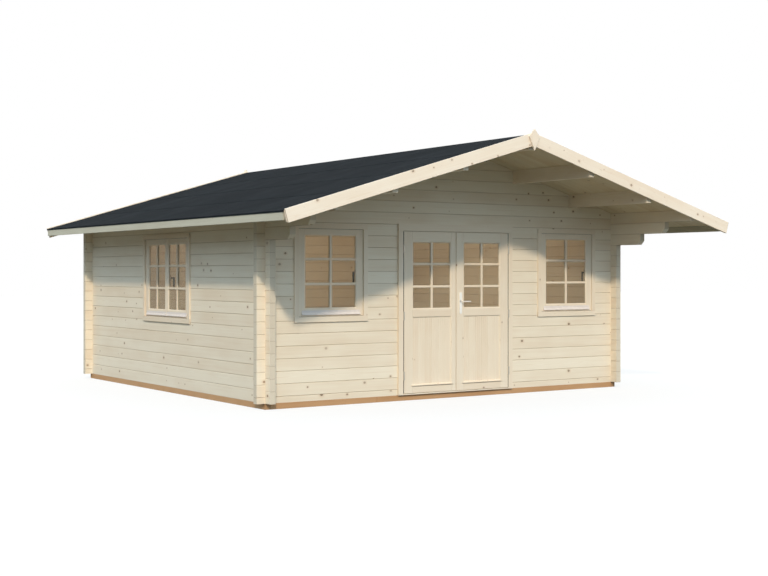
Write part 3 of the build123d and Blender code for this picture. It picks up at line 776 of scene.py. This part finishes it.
class CABIN_OT_timbers(bpy.types.Operator):
    """Planes and eases the beams, bargeboards, fascias, finials and foundation"""
    bl_idname = "cabin.timbers"
    bl_label = "Beams, bargeboards and foundation"
    bl_options = {"REGISTER", "UNDO"}

    def execute(self, context):
        ease = context.scene.cabin_timber.planed_ease
        for finish_name, slot, first_seed, nodes in (
                ("beams", "log_timber", 0, ("ridge_beam", "left_purlins", "right_purlins")),
                ("trim", "trim_timber", 5, ("front_bargeboards", "rear_bargeboards")),
                ("fascia", "trim_timber", 9, ("left_eave_fascia", "right_eave_fascia")),
                ("trim", "trim_timber", 15, ("front_finial", "rear_finial"))):
            for seed, node in enumerate(nodes, first_seed):
                eased_copy(f"{node}_planed", node, ease, finish_name, "cabin", slot, seed,
                           upright="finial" in node)
        eased_copy("foundation_timbers", "foundation", ease * 1.5, "treated", "cabin", "treated_timber", 21)
        return {"FINISHED"}


class CABIN_OT_roof_boards(bpy.types.Operator):
    """Lays the roof boards, each from the ridge to an eave"""
    bl_idname = "cabin.roof_boards"
    bl_label = "Roof boards"
    bl_options = {"REGISTER", "UNDO"}

    def execute(self, context):
        sizes = context.scene.cabin_timber
        for side, name in ((-1, "left"), (1, "right")):
            node = f"{name}_roof_boards"
            low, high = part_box(node)
            inner, outer = sorted((abs(low.x), abs(high.x)))
            bottom, top = edge_heights(node, False)
            count = round((high.y - low.y) / sizes.board_width)
            pitch = (high.y - low.y) / count

            def on_slope(u, w, v, side=side, inner=inner, bottom=bottom):
                return Vector((side * u, w, bottom - (u - inner) * tan(PITCH) + v))
            bm = bmesh.new()
            eased_box(bm, (inner, low.y, 0.0), (outer, low.y + pitch - sizes.board_gap, top - bottom),
                      sizes.board_ease, on_slope)
            grained(bm)
            mesh = row(mesh_from(node, bm), count, (0.0, pitch, 0.0), finish("boards"), 7 + side)
            put(f"{name}_roof_board_row", mesh, "cabin", "boarding", node)
        return {"FINISHED"}


class CABIN_OT_felt(bpy.types.Operator):
    """Lays the felt in lapped strips, with the lowest strip turned down at the eave"""
    bl_idname = "cabin.felt"
    bl_label = "Roof felt"
    bl_options = {"REGISTER", "UNDO"}

    def execute(self, context):
        sizes = context.scene.cabin_felt
        sheet_share = 0.46                       # of the layer's thickness, so that two strips fit in a lap
        for side, name in ((-1, "left"), (1, "right")):
            node = f"{name}_roof_felt"
            low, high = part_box(node)
            inner, outer = sorted((abs(low.x), abs(high.x)))
            bottom, top = edge_heights(node, False)
            lip = edge_heights(node, True)[0]
            sheet = (top - bottom) * sheet_share
            width = outer - inner
            count = ceil(width / ((sizes.width - sizes.lap) * cos(PITCH)))
            bm = bmesh.new()
            shade = bm.verts.layers.float.new("shade")
            chance = random.Random(40 + side)

            def on_slope(x, z, along, side=side, inner=inner):
                return Vector((side * x, along, z - (x - inner) * tan(PITCH)))
            for number in range(count):
                near = inner + width * number / count
                far = min(outer, inner + width * (number + 1) / count + sizes.lap * cos(PITCH))
                outline = [(near, bottom + sheet), (far, top), (far, top - sheet), (near, bottom)]
                if number == count - 1:
                    drop = lip + (far - inner) * tan(PITCH)
                    edge = far - sheet
                    outline[2:3] = [(far, drop), (edge, drop - sheet * tan(PITCH)), (edge, top - sheet)]
                before = len(bm.verts)
                prism(bm, outline, low.y, high.y, on_slope)
                bm.verts.ensure_lookup_table()
                tone = chance.random()
                for vert in bm.verts[before:]:
                    vert[shade] = tone
            put(f"{name}_felt_strips", mesh_from(node, bm, finish("felt")), "cabin", "roofing_felt", node)
        return {"FINISHED"}


class CABIN_OT_floor(bpy.types.Operator):
    """Lays the floor boards from front to back"""
    bl_idname = "cabin.floor"
    bl_label = "Floor boards"
    bl_options = {"REGISTER", "UNDO"}

    def execute(self, context):
        sizes = context.scene.cabin_timber
        low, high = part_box("floor")
        count = round((high.x - low.x) / sizes.board_width)
        pitch = (high.x - low.x) / count
        bm = bmesh.new()
        eased_box(bm, low, (low.x + pitch - sizes.board_gap, high.y, high.z), sizes.board_ease * 0.5)
        grained(bm)
        mesh = row(mesh_from("floor_board", bm), count, (pitch, 0.0, 0.0), finish("boards"), 3)
        put("floor_board_row", mesh, "cabin", "boarding", "floor")
        return {"FINISHED"}


class CABIN_OT_door_leaves(bpy.types.Operator):
    """Planes the door's members and boards its lower panels"""
    bl_idname = "cabin.door_leaves"
    bl_label = "Door leaves"
    bl_options = {"REGISTER", "UNDO"}

    def execute(self, context):
        sizes = context.scene.cabin_timber
        for seed, name in enumerate(("left", "right")):
            body = f"{name}_door"
            eased_copy(f"{name}_door_stiles_and_rails", f"{name}_door_members", sizes.planed_ease, "joinery",
                       body, "joinery_timber", 30 + seed)
            parts = [self.boards(name, sizes, 12 + seed), *self.beads(name)]
            joined(f"{name}_door_boarded_panel", parts, body, "joinery_timber", f"{name}_door_panel")
            self.seals(name, body)
        return {"FINISHED"}

    def boards(self, name, sizes, seed):
        """Upright boards with a fine groove at each third of their width."""
        low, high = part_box(f"{name}_door_panel")
        count = round((high.x - low.x) / sizes.panel_board)
        pitch = (high.x - low.x) / count
        groove = sizes.panel_groove
        ease = sizes.board_ease
        width = pitch - sizes.board_gap
        face = [(0.0, ease), (ease, 0.0)]
        for middle in (width / 3, width * 2 / 3):
            face += [(middle - groove, 0.0), (middle, groove), (middle + groove, 0.0)]
        face += [(width - ease, 0.0), (width, ease)]
        outline = [(low.x + u, low.y + w) for u, w in face]
        outline += [(low.x + u, high.y - w) for u, w in reversed(face)]
        bm = bmesh.new()
        prism(bm, outline, low.z, high.z, straight)
        grained(bm)
        return row(mesh_from("panel_board", bm), count, (pitch, 0.0, 0.0), finish("joinery"), seed)

    def beads(self, name):
        """The mitred beads in front of and behind a panel, and the drip moulding under it."""
        g = bpy.context.scene.cabin_glazing
        edge_back, crown_back, crown_at, thick, bite = 0.002, 0.001, 0.35, 0.003, 0.001
        low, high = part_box(f"{name}_door_panel")
        face, back = [corner.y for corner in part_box(f"{name}_door_members")]
        wide = g.panel_bead
        edges = (low.x + g.rebate, high.x - g.rebate, low.z + g.rebate, high.z - g.rebate)
        for surface, cover, way in ((low.y, face, 1), (high.y, back, -1)):
            bm = bmesh.new()
            picture_frame(bm, *edges, [(0, surface), (0, cover + way * edge_back),
                                       (wide * crown_at, cover + way * crown_back),
                                       (wide, surface - way * thick), (wide, surface)], straight)
            grained(bm, 1, mitred=True)
            yield mesh_from("panel_bead", bm, finish("joinery"))
        bm = bmesh.new()
        reach, top = g.drip_reach, edges[2] + g.drip_lift
        eased_box(bm, (edges[0] - reach, face - g.drip_depth, top - g.drip_height),
                  (edges[1] + reach, face + bite, top), g.bar_ease * 0.6)
        grained(bm, 2)
        yield mesh_from("panel_drip", bm, finish("joinery"))

    def seals(self, name, body):
        """The dark rubber strip on a leaf's hinged edge, which also paints the shade in the gap beside the
        leaf.
        """
        low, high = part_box(f"{name}_door_members")
        edge, out = (low.x, -1) if abs(low.x) > abs(high.x) else (high.x, 1)
        thick = bpy.context.scene.cabin_glazing.seal
        near, far = sorted((edge, edge + out * thick))
        bm = bmesh.new()
        eased_box(bm, (near, low.y + SEAL_FRONT, low.z + SEAL_END), (far, high.y - SEAL_END, high.z - SEAL_END),
                  0.0)
        put_shape(f"{name}_door_seal", bm, "dark", body, "joinery_timber")


class CABIN_OT_joinery(bpy.types.Operator):
    """Planes the door's frame and casing, and the windows' frames and sashes"""
    bl_idname = "cabin.joinery"
    bl_label = "Door and window frames"
    bl_options = {"REGISTER", "UNDO"}

    def execute(self, context):
        ease = context.scene.cabin_timber.planed_ease
        for seed, node in enumerate(("door_frame", "door_casing", "front_left_window_frame",
                                     "front_left_window_sash", "front_right_window_frame",
                                     "front_right_window_sash", "side_window_frame", "side_window_sashes")):
            eased_copy(f"{node}_planed", node, ease, "joinery", "cabin", "joinery_timber", 50 + seed)
        g = context.scene.cabin_glazing
        low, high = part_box("right_door_members")
        reveal = high.x + g.door_gap
        # Dark rubber strips on the frame's reveals, whose dark colour also paints the shade in the gaps beside
        # the leaves.
        bm = bmesh.new()
        for near, far in ((-reveal, g.seal - reveal), (reveal - g.seal, reveal)):
            eased_box(bm, (near, low.y + SEAL_FRONT, low.z + SEAL_END), (far, high.y + SEAL_BACK, high.z), 0.0)
        put_shape("door_frame_seals", bm, "dark", "cabin", "joinery_timber")
        return {"FINISHED"}


def lattice(name, u0, u1, v0, v1, glass, members_span, place):
    """Beads and bars of one pane of two by three lights. glass and members_span are spans in depth."""
    g = bpy.context.scene.cabin_glazing
    edge_back, crown_back, thick = (0.0015, 0.002), (0.0025, 0.003), (0.007, 0.006)   # outer and inner bead
    wide = g.bead_width
    crown, tuck = wide * 0.45, wide * 0.7        # tuck is how far the bars' ends stay from the outer edge
    outside, inside = members_span
    bm = bmesh.new()
    picture_frame(bm, u0, u1, v0, v1, [(0, glass[0]), (0, outside + edge_back[0]),
                                       (crown, outside + crown_back[0]),
                                       (wide, glass[0] - thick[0]), (wide, glass[0])], place)
    picture_frame(bm, u0, u1, v0, v1, [(0, glass[1]), (wide, glass[1]), (wide, glass[1] + thick[1]),
                                       (crown, inside - crown_back[1]), (0, inside - edge_back[1])], place)
    grained(bm, 4, mitred=True)
    beads = mesh_from(name, bm, finish("joinery"))
    middle = (u0 + u1) / 2
    spans = ((glass[0] - g.bar_depth, glass[0]), (glass[1], glass[1] + g.bar_depth))
    step_out = 0.0008
    bm = bmesh.new()
    for near, far in ((spans[0][0] - step_out, spans[0][1]), (spans[1][0], spans[1][1] + step_out)):
        eased_box(bm, (middle - g.post_width / 2, near, v0 + tuck),
                  (middle + g.post_width / 2, far, v1 - tuck), g.bar_ease, place)
    grained(bm, 5)
    posts = mesh_from(name, bm, finish("joinery"))
    light = (v1 - v0 - 2 * wide - 2 * g.bar_width) / 3
    first = v0 + wide + light
    bm = bmesh.new()
    for near, far in spans:
        eased_box(bm, (u0 + tuck, near, first), (u1 - tuck, far, first + g.bar_width), g.bar_ease, place)
    grained(bm)
    bars = row(mesh_from(name, bm), 2, (0.0, 0.0, light + g.bar_width), finish("joinery"), 5)
    return [beads, posts, bars]


class CABIN_OT_glazing(bpy.types.Operator):
    """Fits the glass, its beads and its bars in the door and the windows"""
    bl_idname = "cabin.glazing"
    bl_label = "Glass, beads and bars"
    bl_options = {"REGISTER", "UNDO"}

    def execute(self, context):
        g = context.scene.cabin_glazing
        for name, members_node, body in (("left_door", "left_door_members", "left_door"),
                                         ("right_door", "right_door_members", "right_door"),
                                         ("front_left_window", "front_left_window_sash", "cabin"),
                                         ("front_right_window", "front_right_window_sash", "cabin")):
            low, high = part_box(f"{name}_glass")
            span = [corner.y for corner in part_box(members_node)]
            parts = lattice(name, low.x + g.rebate, high.x - g.rebate, low.z + g.rebate, high.z - g.rebate,
                            (low.y, high.y), span, straight)
            joined(f"{name}_bars", parts, body, "joinery_timber")
        low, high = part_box("side_window_glass")
        span = [corner.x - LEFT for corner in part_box("side_window_sashes")]
        half = (high.y - low.y) / 2 - g.rebate
        parts = []
        for u0, u1 in ((-half, -g.meeting), (g.meeting, half)):
            parts += lattice("side_window", u0, u1, low.z + g.rebate, high.z - g.rebate,
                             (low.x - LEFT, high.x - LEFT), span, facing(SIDE_MIDDLE, True))
        joined("side_window_bars", parts, "cabin", "joinery_timber")
        for name in ("left_door", "right_door", "front_left_window", "front_right_window", "side_window"):
            painted(f"{name}_glass", "glass")
        return {"FINISHED"}


def drip_rail(bm, u0, u1, v, w, height, place):
    """A metal strip that throws rain off the bottom rail of a sash."""
    plate, bend, shoulder, nose = 0.002, 0.004, 0.014, 0.0165      # how far it stands out, from the top down
    bend_at, shoulder_at = 0.55, 0.15                              # shares of its height
    lip, hollow = (0.0145, -0.002), (0.012, 0.004)                 # its folded edge, out and up from its foot
    outline = [(w, v), (w, v + height), (w - plate, v + height), (w - bend, v + height * bend_at),
               (w - shoulder, v + height * shoulder_at), (w - nose, v), (w - lip[0], v + lip[1]),
               (w - hollow[0], v + hollow[1])]
    prism(bm, outline, u0, u1, lambda p, q, along: place(along, p, q))


def catch(bm, u, v, w, place):
    """An inside catch with its lever pointing down."""
    half, reach, thick, ease = 0.013, 0.035, 0.010, 0.003          # the plate on the sash
    eased_box(bm, (u - half, w, v - reach), (u + half, w + thick, v + reach), ease, place)
    start, end, radius = 0.008, 0.052, 0.008                       # the pin
    round_bar(bm, place(u, w + start, v), place(u, w + end, v), radius)
    half, near, far, down, up, ease = 0.010, 0.042, 0.060, 0.110, 0.012, 0.005   # the lever
    eased_box(bm, (u - half, w + near, v - down), (u + half, w + far, v + up), ease, place)


def seal(bm, u0, u1, v0, v1, gap, w, place):
    """A rubber seal in the gap round a sash, whose dark colour also paints the shade in that gap."""
    slack, thick = 0.0003, 0.006
    picture_frame(bm, u0 - gap, u1 + gap, v0 - gap, v1 + gap,
                  [(slack, w), (slack, w + thick), (gap - slack, w + thick), (gap - slack, w)], place)


class CABIN_OT_window_fittings(bpy.types.Operator):
    """Fits the drip rails, the inside catches and the seals of the windows"""
    bl_idname = "cabin.window_fittings"
    bl_label = "Window fittings"
    bl_options = {"REGISTER", "UNDO"}

    def execute(self, context):
        catch_inset, side_catch_at, past_middle = 0.068, 0.020, 0.033
        for name in ("front_left", "front_right"):
            low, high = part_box(f"{name}_window_sash")
            middle = (low.x + high.x) / 2
            across = (low.x - middle, high.x - middle)
            self.fit(name, facing(middle, False), across, (low.z, high.z), (low.y - FRONT, high.y - FRONT),
                     [across], high.x - middle - catch_inset)
        low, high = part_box("side_window_sashes")
        half = (high.y - low.y) / 2
        self.fit("side", facing(SIDE_MIDDLE, True), (-half, half), (low.z, high.z),
                 (low.x - LEFT, high.x - LEFT), [(-half, past_middle), (-past_middle, half)], side_catch_at)
        return {"FINISHED"}

    def fit(self, name, place, across, up, deep, rails, catch_at):
        """The fittings of one window, which spans across, up and deep. rails holds the span of each sash
        that has a drip rail."""
        g = bpy.context.scene.cabin_glazing
        gap, seal_back = 0.003, 0.005
        bm = bmesh.new()
        for u0, u1 in rails:
            drip_rail(bm, u0 + g.rail_inset, u1 - g.rail_inset, up[0] + g.rail_lift, deep[0], g.rail_height,
                      place)
        put_shape(f"{name}_drip_rail", bm, "rail", "cabin", "handle_metal")
        bm = bmesh.new()
        catch(bm, catch_at, (up[0] + up[1]) / 2, deep[1], place)
        put_shape(f"{name}_catch", bm, "dark", "cabin", "handle_metal")
        bm = bmesh.new()
        # The dark seal also paints the shade in the gap round the sash.
        seal(bm, *across, *up, gap, deep[0] + seal_back, place)
        put_shape(f"{name}_seal", bm, "dark", "cabin", "joinery_timber")


class CABIN_OT_hinges(bpy.types.Operator):
    """Gives the door's hinges their zinc plated steel"""
    bl_idname = "cabin.hinges"
    bl_label = "Door hinges"
    bl_options = {"REGISTER", "UNDO"}

    def execute(self, context):
        for node in ("door_hinge_pins", "left_door_hinges", "right_door_hinges"):
            painted(node, "zinc")
        return {"FINISHED"}


class CABIN_OT_handles(bpy.types.Operator):
    """Makes the lever handles, their long plates, screws and keyholes"""
    bl_idname = "cabin.handles"
    bl_label = "Door handles"
    bl_options = {"REGISTER", "UNDO"}

    def execute(self, context):
        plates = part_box("door_handle_plates")
        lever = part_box("door_handle")
        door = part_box("right_door_members")
        middle = (plates[0].x + plates[1].x) / 2
        spindle = (lever[0].z + lever[1].z) / 2
        parts = []
        for face, out in ((door[0].y, -1), (door[1].y, 1)):
            parts += self.plate(plates, middle, spindle, face, out)
        joined("handle_plate_set", parts, "right_door", "handle_metal", "door_handle_plates")
        spindle_past, spindle_radius = 0.001, 0.0044
        bm = bmesh.new()
        for face, out, tip in ((door[0].y, -1, lever[0].y), (door[1].y, 1, lever[1].y)):
            self.lever(bm, middle, spindle, lever[1].x, face, out, tip)
        round_bar(bm, (middle, door[0].y - spindle_past, spindle), (middle, door[1].y + spindle_past, spindle),
                  spindle_radius)
        put_shape("lever_pair", bm, "lever_metal", "door_handle", "handle_metal", "door_handle")
        return {"FINISHED"}

    def plate(self, plates, middle, spindle, face, out):
        """A long plate with its lock cylinder and two screws, on one face of the door."""
        key_drop, corner = 0.092, 0.012
        edge_thick, thick, narrowed = 0.0055, 0.0070, 0.93
        inner, barrel_out, barrel_radius = 0.0065, 0.0095, 0.0086
        slot_half, slot_out, slot_down, slot_up, slot_ease = 0.0050, 0.0092, 0.024, 0.004, 0.0012
        screw_inset, screw_start, screw_out, screw_radius, screw_top = 0.013, 0.0068, 0.0082, 0.0040, 0.0030
        key_half, key_near, key_far, key_reach, ring_radius = 0.0008, 0.0094, 0.0098, 0.004, 0.0105
        key = spindle - key_drop
        outline = self.rounded(plates[0].x, plates[1].x, plates[0].z, plates[1].z, corner)
        bm = bmesh.new()
        rings = [[bm.verts.new((middle + (x - middle) * s, face + out * d, z)) for x, z in outline]
                 for s, d in ((1.0, 0.0), (1.0, edge_thick), (narrowed, thick))]
        for ring, following in zip(rings, rings[1:]):
            for k in range(len(ring)):
                bm.faces.new([ring[k - 1], ring[k], following[k], following[k - 1]])
        bm.faces.new(rings[0])
        bm.faces.new(rings[-1])
        round_bar(bm, (middle, face + out * inner, key), (middle, face + out * barrel_out, key),
                  barrel_radius, 24)
        self.upright_box(bm, middle, slot_half, face, out, inner, slot_out, key - slot_down, key - slot_up,
                         slot_ease)
        yield mesh_from("plate", bm, finish("plate_metal"))
        bm = bmesh.new()
        bottom = plates[0].z + screw_inset
        round_bar(bm, (middle, face + out * screw_start, bottom), (middle, face + out * screw_out, bottom),
                  screw_radius, 16, screw_top)
        reach = plates[1].z - plates[0].z - 2 * screw_inset
        yield row(mesh_from("screw", bm), 2, (0.0, 0.0, reach), finish("plate_metal"), 2)
        bm = bmesh.new()
        self.upright_box(bm, middle, key_half, face, out, key_near, key_far, key - key_reach,
                         key + key_reach, 0.0)
        round_bar(bm, (middle, face + out * inner, spindle), (middle, face + out * barrel_out, spindle),
                  ring_radius, 28)
        yield mesh_from("keyhole_and_ring", bm, finish("dark"))

    def lever(self, bm, middle, spindle, tip_x, face, out, tip):
        """A lever that leaves the door, turns to the side in a round corner and ends in a rounded grip."""
        grip_depth, corner, steps = 0.0075, 0.016, 6
        neck_start, neck_end, neck_radius = 0.0004, 0.0105, 0.0083
        stem_start, stem_end, stem_radius = 0.009, 0.022, 0.0072
        grip = ((0.35, 0.0080), (0.6, 0.0083), (0.8, 0.0080), (0.93, 0.0074), (1.0, 0.0050))   # along, radius
        bar = tip - out * grip_depth
        round_bar(bm, (middle, face + out * neck_start, spindle), (middle, face + out * neck_end, spindle),
                  neck_radius, 28)
        points = [(middle, face + out * stem_start, spindle), (middle, face + out * stem_end, spindle)]
        for turn in [pi / 2 * k / steps for k in range(steps + 1)]:
            points.append((middle + corner * (1 - cos(turn)), bar - out * corner * (1 - sin(turn)), spindle))
        start = middle + corner
        radii = [stem_radius] * len(points) + [radius for _, radius in grip]
        points += [(start + (tip_x - start) * along, bar, spindle) for along, _ in grip]
        swept(bm, points, radii, sides=18, flat=0.86)

    @staticmethod
    def upright_box(bm, middle, half, face, out, near, far, bottom, top, ease):
        """A box on one face of the door, from near to far in front of it."""
        depths = sorted((face + out * near, face + out * far))
        eased_box(bm, (middle - half, depths[0], bottom), (middle + half, depths[1], top), ease)

    @staticmethod
    def rounded(x0, x1, z0, z1, radius):
        """A rectangle with rounded corners, as a list of points."""
        points, steps = [], 5
        for cx, cz, start in ((x1 - radius, z1 - radius, 0), (x0 + radius, z1 - radius, 90),
                              (x0 + radius, z0 + radius, 180), (x1 - radius, z0 + radius, 270)):
            for k in range(steps + 1):
                angle = radians(start + 90 * k / steps)
                points.append((cx + radius * cos(angle), cz + radius * sin(angle)))
        return points


class CABIN_OT_stage(bpy.types.Operator):
    """Sets the pale floor, the soft light and the camera"""
    bl_idname = "cabin.stage"
    bl_label = "Stage"
    bl_options = {"REGISTER", "UNDO"}

    def execute(self, context):
        scene = context.scene
        stage = scene.cabin_stage
        self.floor(scene, stage)
        self.surroundings(scene, stage)
        sun = bpy.data.lights.new("key_light", "SUN")
        sun.energy = stage.sun
        sun.angle = stage.softness
        sun.color = stage.sun_colour
        key = bpy.data.objects.new("key_light", sun)
        key.rotation_euler = SUN_WAY.to_track_quat("-Z", "Y").to_euler()
        scene.collection.objects.link(key)
        lamp = bpy.data.lights.new("room_light", "POINT")
        lamp.energy = stage.room
        lamp.color = stage.room_colour
        lamp.shadow_soft_size = LAMP_RADIUS
        room = bpy.data.objects.new("room_light", lamp)
        floor_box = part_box("floor")
        room.location = (floor_box[0] + floor_box[1]) / 2 + Vector((0.0, 0.0, LAMP_HEIGHT))
        room.visible_camera = room.visible_glossy = room.visible_transmission = False
        scene.collection.objects.link(room)
        self.camera(scene)
        return {"FINISHED"}

    def floor(self, scene, stage):
        """A pale floor that shows as white in a direct view, apart from the cabin's shadow on it."""
        half = stage.floor_size
        bm = bmesh.new()
        bm.faces.new([bm.verts.new(p) for p in ((-half, -half, 0), (half, -half, 0), (half, half, 0),
                                                (-half, half, 0))])
        r = Recipe(bpy.data.materials.new("stage_floor"))
        seen = r.seen_directly()
        tint = r.mix(tuple(stage.bounce_colour), tuple(stage.floor_colour), seen)
        plain = r.node("BsdfDiffuse", inputs={"Color": tint})
        glow = r.node("Emission", inputs={"Color": WHITE, "Strength": 1.0})
        material = r.output(r.node("MixShader", inputs={0: seen * stage.floor_glow, 1: plain, 2: glow}))
        floor = bpy.data.objects.new("stage_floor", mesh_from("stage_floor", bm, material))
        scene.collection.objects.link(floor)

    def surroundings(self, scene, stage):
        """Soft light, mostly from above and from the front, and white behind everything."""
        r = Recipe(bpy.data.worlds.new("stage_light"))
        way = r.split(r.node("TexCoord", out="Generated"))
        lean, dusk, full = 0.15, 0.10, 0.36      # lean to the front, and where the light starts and is full
        sky = r.mix(tuple(stage.low_colour), darker(stage.fill_colour, stage.fill),
                    r.ease(way[Z] - way[Y] * lean, dusk, full))
        soft = r.node("Background", inputs={"Color": sky})
        white = r.node("Background", inputs={"Color": WHITE})
        scene.world = r.output(r.node("MixShader", inputs={0: r.seen_directly(), 1: soft, 2: white}), "World")

    def camera(self, scene):
        """The camera, level and at eye height at the front left."""
        view = bpy.data.cameras.new("camera")
        view.sensor_width = SENSOR
        view.lens = LENS
        view.shift_y = SHIFT
        view.clip_end = FAR
        camera = bpy.data.objects.new("camera", view)
        camera.location = EYE
        camera.rotation_euler = (radians(90.0), 0.0, radians(EYE_TURN))
        scene.collection.objects.link(camera)
        scene.camera = camera
        scene.view_settings.view_transform = "Standard"


class CABIN_PT_sidebar(bpy.types.Panel):
    """Lists the cabin's settings and operators"""
    bl_label = "Log cabin"
    bl_idname = "CABIN_PT_sidebar"
    bl_space_type = "VIEW_3D"
    bl_region_type = "UI"
    bl_category = "Cabin"

    def draw(self, context):
        for name, _ in GROUPS:
            group = getattr(context.scene, name)
            box = self.layout.box()
            for setting in group.__annotations__:
                box.prop(group, setting)
        for operator in OPERATORS:
            self.layout.operator(operator.bl_idname)


GROUPS = (("cabin_colours", CabinColours), ("cabin_timber", TimberSizes), ("cabin_felt", FeltSizes),
          ("cabin_glazing", GlazingSizes), ("cabin_stage", StageSettings))
OPERATORS = (CABIN_OT_logs, CABIN_OT_timbers, CABIN_OT_roof_boards, CABIN_OT_felt, CABIN_OT_floor,
             CABIN_OT_door_leaves, CABIN_OT_joinery, CABIN_OT_glazing, CABIN_OT_window_fittings,
             CABIN_OT_hinges, CABIN_OT_handles, CABIN_OT_stage)


def register():
    """Adds the settings, operators and panel."""
    for name, group in GROUPS:
        bpy.utils.register_class(group)
        setattr(bpy.types.Scene, name, bpy.props.PointerProperty(type=group))
    for cls in (*OPERATORS, CABIN_PT_sidebar):
        bpy.utils.register_class(cls)


def unregister():
    """Takes the settings, operators and panel away."""
    for cls in (CABIN_PT_sidebar, *reversed(OPERATORS)):
        bpy.utils.unregister_class(cls)
    for name, group in reversed(GROUPS):
        delattr(bpy.types.Scene, name)
        bpy.utils.unregister_class(group)


def main():
    """Makes every piece."""
    register()
    for operator in OPERATORS:
        family, name = operator.bl_idname.split(".")
        getattr(getattr(bpy.ops, family), name)()


if __name__ == "__main__":
    main()
